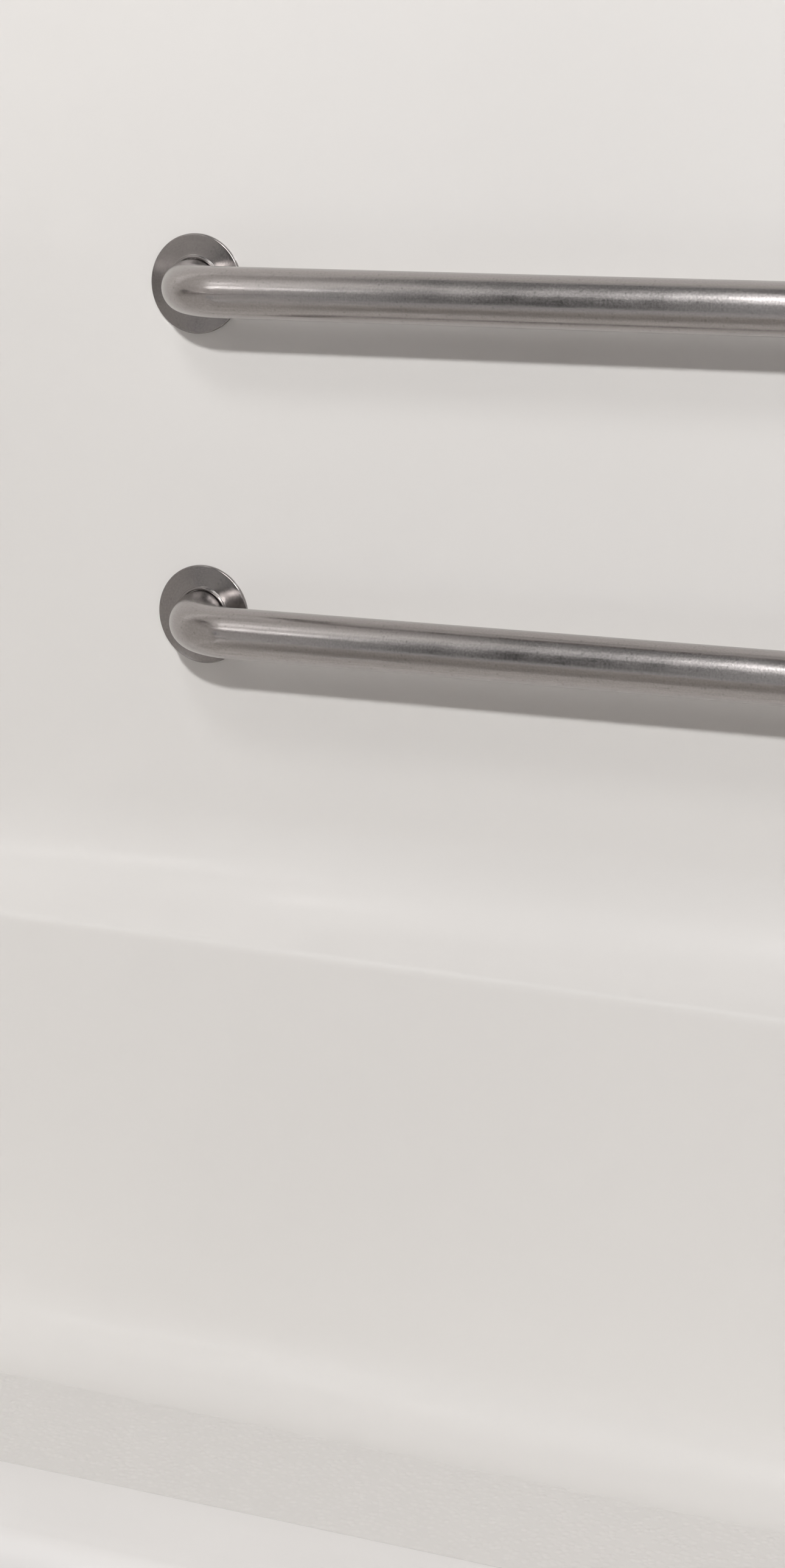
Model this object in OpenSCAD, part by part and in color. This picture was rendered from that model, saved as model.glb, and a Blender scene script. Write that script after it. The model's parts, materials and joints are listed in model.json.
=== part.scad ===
// Accessible transfer tub: a one-piece moulded tub and shower module with a raised transfer seat at the head
// end, three grab bars, a lever mixing valve, spout and shower, and a trip lever waste and overflow.
// The origin is on the floor at the centre of the footprint. X runs along the tub with the control wall at -X,
// the open side and its apron face -Y, the back wall is at +Y and Z is up.

/* [Module] */
// Overall length, flange to flange
unit_len = 1524; // [1480:1:1700]
// Overall depth, apron face to the back of the backer boards
unit_dep = 914; // [880:1:1000]
// Overall height, floor to the top of the nailing flange
unit_h = 1956; // [1930:1:2100]
// Thickness of the moulded laminate
laminate = 5; // [4:0.5:6]
// Thickness of the wall backer boards
backer_t = 19; // [18:0.5:20]
// From each end of the module to the inner face of its end wall
wall_inset = 35; // [33:1:45]
// Radius of the corners between the walls, seen from above
corner_r = 90; // [80:1:110]
// Height of the nailing flange above the wall's top ledge
flange_h = 25; // [20:1:35]
// Radius of the roll at the front edge of each end wall
column_r = 25; // [18:1:27]

/* [Tub] */
// Height of the rim and of the back ledge's edge
rim_h = 402; // [390:1:415]
// Height of the tub's floor at the drain
floor_h = 68; // [66:1:74]
// Width of the front rim
rim_w = 70; // [60:1:90]
// Radius along the outer edge of the rim and the seat
rim_round = 16; // [10:1:20]
// Height of the cove at the foot of the walls, above the ledge's edge
cove_h = 86; // [75:1:95]
// Depth of the ledge at the control end
ledge_control = 41; // [38:1:50]
// Depth of the back ledge where it meets the seat
ledge_seat = 72; // [60:1:80]
// How far the tub's back and front walls lean in over their height
side_lean = 30; // [15:1:45]
// How far the tub's head end leans in over its height
head_lean = 60; // [40:1:80]
// Radius of the cove between the tub's walls and its floor
floor_cove = 60; // [40:1:70]
// Fall of the tub's floor towards the drain, mm for each mm of length
floor_fall = 0.01; // [0.005:0.001:0.012]

/* [Seat] */
// Depth of the transfer seat along the tub
seat_dep = 381; // [370:1:410]
// Height of the seat's top
seat_h = 438; // [432:1:455]

/* [Grab bars] */
// Outside diameter of the bar tube
bar_d = 38.1; // [32:0.1:40]
// Wall thickness of the bar tube
bar_wall = 1.5; // [1:0.1:2.5]
// Distance from the wall's face to the bar's centreline
bar_off = 57.15; // [56:0.05:62]
// Centreline radius of the bar's bends
bar_bend = 54; // [48:0.5:54]
// Length of the control wall bar, centre to centre of its flanges
control_bar_len = 610; // [560:1:640]
// From the control wall to the back bars' near flanges
bar_start = 305; // [290:1:330]
// From the back bars' far flanges to the head wall
bar_end = 235; // [200:1:280]
// Height of the upper back bar and of the control wall bar
upper_bar_h = 894; // [880:1:900]
// Height of the lower back bar
lower_bar_h = 640; // [620:1:660]
// Diameter of the round snap covers
cover_d = 76.2; // [74:0.1:86]
// Height of the snap cover's lip above the mounting plate
lip_rise = 3; // [2.5:0.1:4]
// Thickness of the welded mounting plates
plate_t = 2; // [1.5:0.1:3]
// Radius of the circle that the mounting screws stand on
screw_ring = 27.5; // [27:0.5:29]
// Length of the mounting screws under their heads
bar_screw_len = 25; // [22:0.5:26]

/* [Taps] */
// Distance of the valve, spout and shower in front of the module's middle
control_y = 150; // [120:1:180]
// From the upper bar's height down to the mixing valve
valve_drop = 174; // [150:1:190]
// Height of the tub spout
spout_h = 545; // [530:1:570]
// From the walls' top ledge down to the shower arm
shower_drop = 91; // [80:1:130]
// Radius of the valve's face plate
face_plate_r = 82; // [76:1:90]
// Length of the lever handle from its pivot
lever_len = 95; // [80:1:110]
// Length of the spout from the wall
spout_len = 140; // [125:1:160]
// Travel of the diverter knob
diverter_travel = 9; // [7:0.5:10]

/* [Waste] */
// Distance of the drain from the tub's control end
drain_gap = 125; // [120:1:160]
// Height of the overflow plate's centre
overflow_h = 312; // [300:1:320]
// Outside diameter of the waste tubes
waste_d = 38.1; // [36:0.1:40]
// Wall thickness of the waste tubes
waste_wall = 1.2; // [0.9:0.1:2]
// Radius of the overflow face plate
overflow_r = 38; // [36:1:42]
// Distance from the trip lever's pivot to the linkage
trip_arm = 26; // [22:1:28]

/* [Hidden] */
$fn = 48;

// A hair's breadth that a cut runs past a face
cut = 1;
// Radial gap of a part that turns or slides in its seat
run_gap = 0.05;
// Radial gap of a fixed part in its seat
seat_gap = 0.1;

half_len = unit_len / 2;
half_dep = unit_dep / 2;
wall_x = half_len - wall_inset;
wall_y = half_dep - laminate - backer_t;
cove_top = rim_h + cove_h;
seat_cove = cove_top - seat_h;
seat_x = wall_x - seat_dep;
wall_top = unit_h - flange_h;
back_bar_len = 2 * wall_x - bar_start - bar_end;
valve_h = upper_bar_h - valve_drop;
shower_h = wall_top - shower_drop;

// The tub's opening at the rim: its edge line, before the small roll into the tub
edge_roll = 4;
edge_x0 = -wall_x + ledge_control;
edge_y0 = -half_dep + rim_w;
edge_y1 = wall_y - ledge_control;
taper_x = -wall_x + corner_r;
tub_corner = corner_r - ledge_control;
head_corner = 60;
corner_swell = 60;
step_r = rim_round + 6;
edge_lap = 3;
deck_t = laminate + 0.5;

drain_x = edge_x0 + edge_roll + drain_gap;
floor_under = floor_h - laminate;
board_t = 12;
board_fall = atan(floor_fall);

steel = [0.72, 0.71, 0.69];
chrome = [0.85, 0.86, 0.88];
brass = [0.78, 0.62, 0.32];
gelcoat = [0.93, 0.92, 0.90];
ply = [0.76, 0.60, 0.40];
black = [0.12, 0.12, 0.13];

// Points of an arc about c with radius r, from angle a0 to a1 in n steps
function arc(c, r, a0, a1, n) =
  [for (i = [0 : n]) let (a = a0 + (a1 - a0) * i / n) [c[0] + r * cos(a), c[1] + r * sin(a)]];

// The cove's section: u out from the wall, v above the ledge's edge, in a circle tangent to the wall at h
function cove_radius(d, h) = (d * d + h * h) / (2 * d);
function cove_sweep(d, h) = let (r = cove_radius(d, h)) acos((r - d) / r);
function cove_line(d, h, grow, n = 8) =
  let (r = cove_radius(d, h)) arc([r, h], r + grow, 180, 180 + cove_sweep(d, h), n);
function cove_band(d, h, n = 8) =
  concat(cove_line(d, h, 0, n), [for (i = [n : -1 : 0]) cove_line(d, h, laminate, n)[i]]);

// Closed solid through rings of points with the same count, running right-handed about the way they advance
// The ends of a strip, whose ring goes out along one line and back along another, are cut into four-sided faces
module skin(rings, strip = true) {
  m = len(rings);
  n = len(rings[0]);
  cap = strip ? [for (i = [0 : n / 2 - 2]) [i, i + 1, n - 2 - i, n - 1 - i]] : [[for (i = [0 : n - 1]) i]];
  sides = [for (j = [0 : m - 2], i = [0 : n - 1]) let (k = (i + 1) % n)
    each [[j * n + i, (j + 1) * n + k, j * n + k], [j * n + i, (j + 1) * n + i, (j + 1) * n + k]]];
  far = [for (f = cap) [for (k = [len(f) - 1 : -1 : 0]) (m - 1) * n + f[k]]];
  polyhedron(points = [for (r = rings) each r], faces = concat(cap, sides, far), convexity = 8);
}

// A tube along local Z
module tube(r, wall, h) {
  difference() {
    cylinder(r = r, h = h);
    translate([0, 0, -cut]) cylinder(r = r - wall, h = h + 2 * cut);
  }
}

// Local Z points out of the back wall, X stays along it
module from_back_wall(x, z) {
  translate([x, wall_y, z]) rotate([90, 0, 0]) children();
}

// Local Z points out of the control wall, X runs along it towards the back
module from_control_wall(y, z) {
  translate([-wall_x, y, z]) rotate([90, 0, 90]) children();
}

// Places in the frame of a bar's near flange: two for the back wall, one for the control wall
module place_upper_bar() from_back_wall(-wall_x + bar_start, upper_bar_h) children();
module place_lower_bar() from_back_wall(-wall_x + bar_start, lower_bar_h) children();
module place_control_bar() from_control_wall(control_bar_y, upper_bar_h) children();
control_bar_y = -half_dep + column_r + cover_d;

// The moulded shell

// The room between the three walls as seen from above, grown by g
module room_outline(g) {
  x = wall_x + g;
  r = corner_r + g;
  polygon(concat(
    [[-x, -half_dep - corner_r]],
    [[x, -half_dep - corner_r]],
    arc([wall_x - corner_r, wall_y - corner_r], r, 0, 90, 8),
    arc([-wall_x + corner_r, wall_y - corner_r], r, 90, 180, 8)
  ));
}

// The rolled front edge of an end wall with its strip of nailing flange; side is -1 or 1
module column_outline(side) {
  c = [side * (wall_x + column_r), -half_dep + column_r];
  a0 = side < 0 ? 0 : 180;
  a1 = side < 0 ? -90 : 270;
  polygon(concat(arc(c, column_r, a0, a1, 6), [for (i = [6 : -1 : 0]) arc(c, column_r - laminate, a0, a1, 6)[i]]));
  translate([side > 0 ? c[0] - 1 : -half_len, -half_dep]) square([half_len - wall_x - column_r + 1, laminate]);
}

module walls() {
  translate([0, 0, cove_top]) linear_extrude(wall_top - cove_top) {
    intersection() {
      difference() {
        room_outline(laminate);
        room_outline(0);
      }
      translate([-half_len, -half_dep + column_r]) square([unit_len, unit_dep]);
    }
    for (side = [-1, 1]) column_outline(side);
  }
  translate([0, 0, wall_top - laminate]) linear_extrude(laminate) difference() {
    translate([-half_len, -half_dep]) square([unit_len, unit_dep]);
    room_outline(laminate / 2);
    translate([-half_len - cut, -half_dep - cut]) square([unit_len + 2 * cut, column_r + cut]);
  }
  translate([0, 0, wall_top - laminate]) linear_extrude(flange_h + laminate) difference() {
    translate([-half_len, -half_dep + column_r]) square([unit_len, unit_dep - column_r]);
    translate([-half_len + laminate, -half_dep]) square([unit_len - 2 * laminate, unit_dep - laminate]);
  }
}

// One section of a band that follows a path: at point o, with n the unit direction into the room, from height z
function station(o, n, z, band) = [for (p = band) [o[0] + n[0] * p[0], o[1] + n[1] * p[0], z + p[1]]];

// Sections round a plan corner about c with radius r, from angle a0 to a1, facing its centre
function corner_stations(c, r, a0, a1, z, band, n = 8) =
  [for (i = [0 : n]) let (a = a0 + (a1 - a0) * i / n, d = [cos(a), sin(a)]) station(c + r * d, -d, z, band)];

// The cove along the control wall, round the back corner and, growing deeper, along the back wall to the seat
module tub_coves() {
  band = cove_band(ledge_control, cove_h);
  skin(concat(
    [station([-wall_x, -half_dep], [1, 0], rim_h, band)],
    corner_stations([taper_x, wall_y - corner_r], corner_r, 180, 90, rim_h, band),
    [station([seat_x + laminate, wall_y], [0, -1], rim_h, cove_band(ledge_seat, cove_h))]
  ));
}

// The seat's own cove along the back wall, round the corner and along the head wall
module seat_coves() {
  band = cove_band(seat_cove, seat_cove);
  skin(concat(
    [station([seat_x, wall_y], [0, -1], seat_h, band)],
    corner_stations([wall_x - corner_r, wall_y - corner_r], corner_r, 90, 0, seat_h, band),
    [station([wall_x, -half_dep], [-1, 0], seat_h, band)]
  ));
}

// The tub's back edge comes forward along the tub, so y shrinks towards the front by this share of itself
function tapered(p) =
  let (share = max(0, p[0] - taper_x) * (ledge_seat - ledge_control) / (seat_x - taper_x) / (edge_y1 - edge_y0))
  [p[0], edge_y0 + (p[1] - edge_y0) * (1 - share)];

// The tub's outline at one level, moved in from its edge line by sides, head and end; swell rounds its corners
function tub_ring(sides, head, end, swell) =
  let (x0 = edge_x0 + end, x1 = seat_x - head, y0 = edge_y0 + sides, y1 = edge_y1 - sides,
       rc = tub_corner - end + swell * corner_swell, rh = head_corner - end + swell * corner_swell)
  [for (p = concat(
    arc([x1 - rh, y1 - rh], rh, 0, 90, 6),
    arc([x0 + rc, y1 - rc], rc, 90, 180, 6),
    arc([x0 + rc, y0 + rc], rc, 180, 270, 6),
    arc([x1 - rh, y0 + rh], rh, 270, 360, 6))) tapered(p)];

// Lifts a ring to height z, with a share of the floor's fall
function lifted(ring, z, share) = [for (p = ring) [p[0], p[1], z + share * floor_fall * (p[0] - drain_x)]];

// Levels of the tub's surface from the floor's edge up to the rim: [share of the lean, inset, height]
function tub_levels(out) = concat(
  [for (a = [0 : 22.5 : 90])
    [1, floor_cove - (floor_cove + out) * sin(a), floor_h + floor_cove - (floor_cove + out) * cos(a)]],
  [[0, -out, rim_h - edge_roll]],
  out == 0
    ? [[0, -0.3 * edge_roll, rim_h - 0.3 * edge_roll], [0, -edge_roll, rim_h]]
    : [[0, -edge_roll - out, rim_h - out], [0, -edge_roll - out, rim_h]]);

// Only the levels that lean are swollen at their corners and follow the floor's fall
function tub_surface(out) = [for (v = tub_levels(out))
  lifted(tub_ring(edge_roll + v[0] * side_lean + v[1], edge_roll + v[0] * head_lean + v[1],
    edge_roll + v[1], v[0]), v[2], v[0])];

module tub() {
  inside = tub_surface(0);
  skin(concat(tub_surface(laminate), [for (i = [len(inside) - 1 : -1 : 0]) inside[i]]), strip = false);
}

// The flat rim in front of the tub and the small fillets of deck at its corners
module rim_deck() {
  lap = 6;
  y = -half_dep + rim_round + edge_lap / 2;
  translate([0, 0, rim_h - deck_t]) linear_extrude(deck_t) difference() {
    polygon([
      [edge_x0 - lap, y],
      [seat_x + step_r, y],
      [seat_x + 3, -half_dep + step_r],
      [seat_x + 3, wall_y - ledge_seat + lap],
      [taper_x, wall_y - ledge_control + lap],
      [edge_x0 + tub_corner, wall_y - ledge_control],
      [edge_x0 - lap, wall_y - corner_r]
    ]);
    polygon(tub_ring(-1.5, -1.5, -1.5, 0));
  }
}

// Section of a rounded outer edge: u inwards from the face, v above the top, down to depth, with a flat lap
function edge_band(depth) = let (r = rim_round, c = [r, -r]) concat(
  [[laminate, -depth]], arc(c, r - laminate, 180, 90, 5), [[r + edge_lap, -laminate], [r + edge_lap, 0]],
  arc(c, r, 90, 180, 5), [[0, -depth]]);

// Rounded front edge of the rim
module rim_edge() {
  band = edge_band(rim_round + 2);
  skin([for (x = [-half_len, seat_x + step_r + laminate]) station([x, -half_dep], [0, 1], rim_h, band)]);
}

// The riser between the tub and the seat, its rounded edge, its corner and the step up in the front's top edge
module seat_edge() {
  band = edge_band(seat_h - rim_h + rim_round + 10);
  skin(concat(
    [station([seat_x, wall_y - seat_cove + 6], [1, 0], seat_h, band)],
    corner_stations([seat_x + step_r, -half_dep + step_r], step_r, 180, 270, seat_h, band, 6),
    [station([half_len, -half_dep], [0, 1], seat_h, band)]
  ));
}

// The seat's top, and the plate that closes the end of the seat's cove over the tub's
module seat_top() {
  lap = 4;
  x = seat_x + rim_round + edge_lap / 2;
  y = -half_dep + rim_round + edge_lap / 2;
  nose = step_r - rim_round;
  translate([0, 0, seat_h - deck_t]) linear_extrude(deck_t) polygon([[x, y + nose], [x + nose, y],
    [wall_x - seat_cove + lap, y], [wall_x - seat_cove + lap, wall_y - corner_r],
    [wall_x - corner_r, wall_y - seat_cove + lap], [x, wall_y - seat_cove + lap]]);
  translate([seat_x, 0, 0]) rotate([90, 0, 90]) linear_extrude(deck_t) polygon(concat(
    [[wall_y - ledge_seat - 20, rim_h - deck_t], [wall_y - ledge_seat - 20, seat_h - rim_round - 2],
      [wall_y - seat_cove, seat_h - rim_round - 2]],
    [for (i = [8 : -1 : 0]) let (p = cove_line(seat_cove, seat_cove, 2)[i]) [wall_y - p[0], seat_h + p[1]]],
    [[wall_y + 3, cove_top - cove_h / 2], [wall_y - 1, rim_h - deck_t]]));
}

// The apron, with the two plates that close the coves at the front
module apron() {
  translate([0, -half_dep + deck_t, 0]) rotate([90, 0, 0]) linear_extrude(deck_t)
    translate([-half_len, 0]) square([unit_len, rim_h - rim_round]);
  translate([0, -half_dep + deck_t, 0]) rotate([90, 0, 0]) linear_extrude(deck_t) {
    polygon(concat([[-half_len, rim_h - rim_round - 8], [edge_x0 - 3, rim_h - rim_round - 8]],
      [for (i = [8 : -1 : 0]) let (p = cove_line(ledge_control, cove_h, 2)[i]) [-wall_x + p[0], rim_h + p[1]]],
      [[-half_len, cove_top]]));
    polygon(concat([[half_len, seat_h - rim_round - 8], [wall_x - seat_cove + 2, seat_h - rim_round - 8]],
      [for (i = [8 : -1 : 0]) let (p = cove_line(seat_cove, seat_cove, 2)[i]) [wall_x - p[0], seat_h + p[1]]],
      [[half_len, cove_top]]));
  }
}

module shell_holes() {
  place_upper_bar() bar_screw_holes(back_bar_len);
  place_lower_bar() bar_screw_holes(back_bar_len);
  place_control_bar() bar_screw_holes(control_bar_len);
  from_control_wall(-control_y, valve_h) wall_hole(valve_hole_r);
  from_control_wall(-control_y, spout_h) wall_hole(pipe_hole_r);
  from_control_wall(-control_y, shower_h) wall_hole(pipe_hole_r);
  translate([edge_x0 + edge_roll, 0, overflow_h]) rotate([0, 90, 0])
    translate([0, 0, -2 * laminate]) cylinder(r = overflow_hole_r, h = 4 * laminate);
  translate([drain_x, 0, floor_under - laminate]) cylinder(r = drain_hole_r, h = 4 * laminate);
  translate([drain_x, 0, floor_h]) cylinder(r = 41, h = laminate);
  each_overflow_screw() cylinder(r = 2.3, h = 60, center = true);
}

// Level landing round the drain
module drain_landing() {
  translate([drain_x, 0, floor_h - pad_t]) cylinder(r = 44, h = pad_t);
}

module wall_hole(r) {
  translate([0, 0, -laminate - cut]) cylinder(r = r, h = laminate + 2 * cut);
}

module bar_screw_holes(len) {
  each_bar_screw(len) translate([0, 0, -laminate - cut]) cylinder(r = screw_r + 0.3, h = laminate + 2 * cut);
}

module moulded_shell() {
  color(gelcoat) difference() {
    union() {
      walls();
      tub_coves();
      seat_coves();
      tub();
      rim_deck();
      rim_edge();
      seat_edge();
      seat_top();
      apron();
      drain_landing();
    }
    shell_holes();
  }
}

// Backers, floor and supports

backer_low = lower_bar_h - 90;
backer_high = upper_bar_h + 90;

module back_wall_backer() {
  w = 2 * (wall_x - corner_r);
  color(ply) difference() {
    translate([-w / 2, wall_y + laminate, backer_low]) cube([w, backer_t, backer_high - backer_low]);
    place_upper_bar() screw_bites(back_bar_len);
    place_lower_bar() screw_bites(back_bar_len);
  }
}

module screw_bites(len) {
  each_bar_screw(len) translate([0, 0, -laminate - backer_t - cut]) cylinder(r = screw_r + seat_gap, h = backer_t + 2 * cut);
}

module end_backer() {
  y0 = -half_dep + 2 * column_r;
  translate([-wall_x - laminate - backer_t, y0, upper_bar_h - 90])
    cube([backer_t, wall_y - corner_r - y0, 180]);
}

module control_wall_backer() {
  color(ply) difference() {
    end_backer();
    place_control_bar() screw_bites(control_bar_len);
  }
}

module head_wall_backer() color(ply) mirror([1, 0, 0]) end_backer();

board_x0 = edge_x0 + edge_roll + floor_cove;
board_x1 = seat_x - head_lean - floor_cove;
board_y = edge_y1 - side_lean - floor_cove - ledge_seat + ledge_control;

// The board lies along the floor's fall, with a gap round the drain
module floor_board() {
  color(ply) translate([drain_x, 0, floor_under]) rotate([0, -board_fall, 0]) difference() {
    translate([board_x0 - drain_x, -board_y, -board_t]) cube([board_x1 - board_x0, 2 * board_y, board_t]);
    translate([board_x0 - drain_x - cut, -shoe_r - 16, -board_t - cut])
      cube([drain_x - board_x0 + shoe_r + 16, 2 * shoe_r + 32, board_t + 2 * cut]);
  }
}

runner_w = 38;
runner_y = board_y - runner_w;

// Three runners cut to the floor's fall; the middle one starts behind the drain
module base_runners() {
  for (run = [[-runner_y, board_x0], [0, drain_x + 90], [runner_y, board_x0]])
    color(ply) translate([0, run[0] + runner_w / 2, 0]) rotate([90, 0, 0]) linear_extrude(runner_w)
      polygon([[run[1], 0], [board_x1, 0], [board_x1, runner_top(board_x1)], [run[1], runner_top(run[1])]]);
}

// Height of the board's underside at x
function runner_top(x) = floor_under - board_t / cos(board_fall) + (x - drain_x) * floor_fall;

module apron_stiffener() {
  color(ply) translate([-half_len + 120, -half_dep + deck_t, 60]) cube([unit_len - 240, board_t, rim_h - 120]);
}

module seat_supports() {
  for (x = [seat_x + 80, wall_x - seat_cove - 60])
    color(ply) translate([x, -half_dep + deck_t + board_t, 0])
      cube([18, wall_y - seat_cove + half_dep - deck_t - board_t, seat_h - deck_t]);
}

// Grab bars, each in the frame of its near flange: X along the bar, Z out of the wall

bar_r = bar_d / 2;
screw_r = 2.4;
screw_head_r = 4.6;
screw_head_h = 1.8;
stub = bar_off - bar_bend - plate_t;

module each_bar_end(len) {
  for (x = [0, len]) translate([x, 0, 0]) children();
}

module each_bar_screw(len) {
  each_bar_end(len) for (a = [90 : 120 : 330]) rotate([0, 0, a]) translate([screw_ring, 0, 0]) children();
}

// One bent tube, solid to radius r
module bar_run(len, r) {
  each_bar_end(len) translate([0, 0, plate_t - (r < bar_r ? cut : 0)]) cylinder(r = r, h = stub + (r < bar_r ? cut : 0));
  for (end = [[0, 1], [len, -1]]) translate([end[0] + end[1] * bar_bend, 0, bar_off - bar_bend])
    rotate([90, end[1] > 0 ? -90 : 0, 0]) rotate_extrude(angle = 90) translate([bar_bend, 0]) circle(r = r);
  translate([bar_bend, 0, bar_off]) rotate([0, 90, 0]) cylinder(r = r, h = len - 2 * bar_bend);
}

module bar_tube(len) {
  color(steel) difference() {
    bar_run(len, bar_r);
    bar_run(len, bar_r - bar_wall);
  }
}

module bar_plates(len) {
  color(steel) difference() {
    each_bar_end(len) cylinder(r = screw_ring + screw_head_r + 1.5, h = plate_t);
    each_bar_screw(len) {
      translate([0, 0, -cut]) cylinder(r = screw_r + 0.3, h = plate_t + 2 * cut);
      translate([0, 0, plate_t - screw_head_h]) cylinder(r1 = screw_r + 0.3, r2 = screw_head_r + 0.3, h = screw_head_h);
      translate([0, 0, plate_t - 0.01]) cylinder(r = screw_head_r + 0.3, h = cut);
    }
  }
}

// Nearly flat cover over the plate: a rolled rim, a shallow cone and a small lip round the tube
module bar_covers(len) {
  r = cover_d / 2;
  lip = bar_r + 2.6;
  h = plate_t + lip_rise;
  color(steel) each_bar_end(len) rotate_extrude()
    polygon([[r, 0], [r, plate_t - 0.5], [r - 0.3, plate_t + 0.1], [r - 0.9, plate_t + 0.4], [lip + 0.6, h - 1.15],
      [lip, h - 0.6], [lip - 0.5, h], [lip - 1.7, h], [lip - 2.2, h - 0.5], [lip - 2.2, h - 1.5],
      [r - 1.2, plate_t - 0.2], [r - 0.8, plate_t - 0.6], [r - 0.8, 0]]);
}

module bar_screws(len) {
  color(chrome) each_bar_screw(len) {
    translate([0, 0, plate_t - screw_head_h]) cylinder(r1 = screw_r, r2 = screw_head_r, h = screw_head_h);
    translate([0, 0, plate_t - bar_screw_len]) cylinder(r = screw_r, h = bar_screw_len - 1);
  }
}

// Waste and overflow

waste_r = waste_d / 2;
drain_hole_r = 24;
overflow_hole_r = 26;
shoe_r = 30;
arm_z = 37;
over_x = edge_x0 + edge_roll - laminate - 35;
tee_r = waste_r + 4;
socket = 22;
gasket_t = 3;
neck_r = 22;
pad_t = laminate + 0.6;
shoe_top = floor_h - pad_t - gasket_t;

// Flange with a recess for the strainer, a threaded neck down into the shoe and a crossbar in the neck
module drain_flange() {
  color(chrome) translate([drain_x, 0, 0]) difference() {
    union() {
      translate([0, 0, floor_h]) cylinder(r1 = 40, r2 = 37, h = 3);
      translate([0, 0, shoe_top - 7.4]) cylinder(r = neck_r, h = floor_h + 1 - shoe_top + 7.4);
    }
    translate([0, 0, floor_h + 1]) cylinder(r = 31, h = 8);
    difference() {
      cylinder(r = 18, h = floor_h + 8);
      translate([-30, -3.5, floor_h - 8]) cube([60, 7, 8]);
    }
    cylinder(r = 2.3 + seat_gap, h = floor_h + 8);
  }
}

module drain_gasket() {
  color(black) translate([drain_x, 0, shoe_top]) tube(shoe_r, shoe_r - drain_hole_r, gasket_t);
}

module drain_strainer() {
  color(chrome) translate([drain_x, 0, floor_h + 1]) difference() {
    cylinder(r = 31 - seat_gap, h = 2);
    for (a = [0 : 45 : 315]) rotate([0, 0, a]) translate([11, 0, -cut]) cylinder(r = 2.6, h = 5);
    translate([0, 0, -cut]) cylinder(r = 2.5, h = 5);
  }
}

module strainer_screw() {
  color(chrome) translate([drain_x, 0, floor_h + 3]) {
    cylinder(r = 4, h = 1.8);
    translate([0, 0, -10]) cylinder(r = 2.3, h = 10);
  }
}

// Elbow under the drain: a cup that the flange's neck screws into and a side socket for the arm
module drain_shoe() {
  color(brass) difference() {
    union() {
      translate([drain_x, 0, shoe_top - 3]) cylinder(r = shoe_r, h = 3);
      translate([drain_x, 0, arm_z - waste_r - 4]) cylinder(r = neck_r + 4, h = shoe_top - arm_z + waste_r + 4);
      translate([drain_x - 26 - socket, 0, arm_z]) rotate([0, 90, 0]) cylinder(r = waste_r + 3, h = 26 + socket);
    }
    translate([drain_x, 0, arm_z - waste_r]) cylinder(r = 18, h = 60);
    translate([drain_x, 0, shoe_top - 8]) cylinder(r = neck_r + seat_gap, h = 60);
    translate([drain_x - 60 - socket, 0, arm_z]) rotate([0, 90, 0]) cylinder(r = waste_r - waste_wall, h = 60 + socket);
    translate([drain_x - 26 - socket - cut, 0, arm_z]) rotate([0, 90, 0]) cylinder(r = waste_r + seat_gap, h = socket + cut);
  }
}

module waste_arm() {
  x0 = over_x + tee_r + 2;
  color(brass) translate([x0 - 8, 0, arm_z]) rotate([0, 90, 0]) tube(waste_r, waste_wall, drain_x - 26 - x0 + 8 - 0.5);
}

tee_top = arm_z + tee_r + 32;
nut_r = waste_r + 8;
nut_h = 16;

// Upright body with a side branch for the arm, a seat for the plunger and a plain spigot at its foot
module waste_tee() {
  color(brass) difference() {
    union() {
      translate([over_x, 0, 12.5]) cylinder(r = tee_r, h = tee_top - 12.5);
      translate([over_x, 0, 1.5]) cylinder(r = waste_r, h = 12);
      translate([over_x, 0, arm_z]) rotate([0, 90, 0]) cylinder(r = tee_r - 0.5, h = tee_r + 16);
    }
    translate([over_x, 0, 0]) cylinder(r = plunger_r - 2.5, h = 40);
    translate([over_x, 0, plunger_seat]) cylinder(r = plunger_r + 1.4, h = tee_top);
    translate([over_x, 0, tee_top - 12]) cylinder(r = waste_r + seat_gap, h = 20);
    translate([over_x, 0, arm_z]) rotate([0, 90, 0]) cylinder(r = 15, h = tee_r + 20);
    translate([over_x + tee_r - 6.2, 0, arm_z]) rotate([0, 90, 0]) cylinder(r = waste_r + seat_gap, h = 40);
  }
}

// Hexagon nuts over the tee's two sockets
module waste_slip_nuts() {
  color(chrome) {
    translate([over_x, 0, tee_top + 2.3]) slip_nut();
    translate([over_x + tee_r + 18.3, 0, arm_z]) rotate([0, 90, 0]) slip_nut();
  }
}

module slip_nut() {
  difference() {
    cylinder(r = nut_r, h = nut_h - 4, $fn = 6);
    translate([0, 0, -cut]) cylinder(r = waste_r + 0.2, h = nut_h);
  }
}

module waste_slip_washers() {
  color(black) {
    translate([over_x, 0, tee_top]) tube(waste_r + 4, 3.8, 2.3);
    translate([over_x + tee_r + 16, 0, arm_z]) rotate([0, 90, 0]) tube(waste_r + 4, 3.8, 2.3);
  }
}

overflow_foot = tee_top - 11.5;

module overflow_tube() {
  color(brass) translate([over_x, 0, overflow_foot]) tube(waste_r, waste_wall, overflow_h - 34 - overflow_foot);
}

head_back = edge_x0 + edge_roll - laminate - gasket_t;

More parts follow.
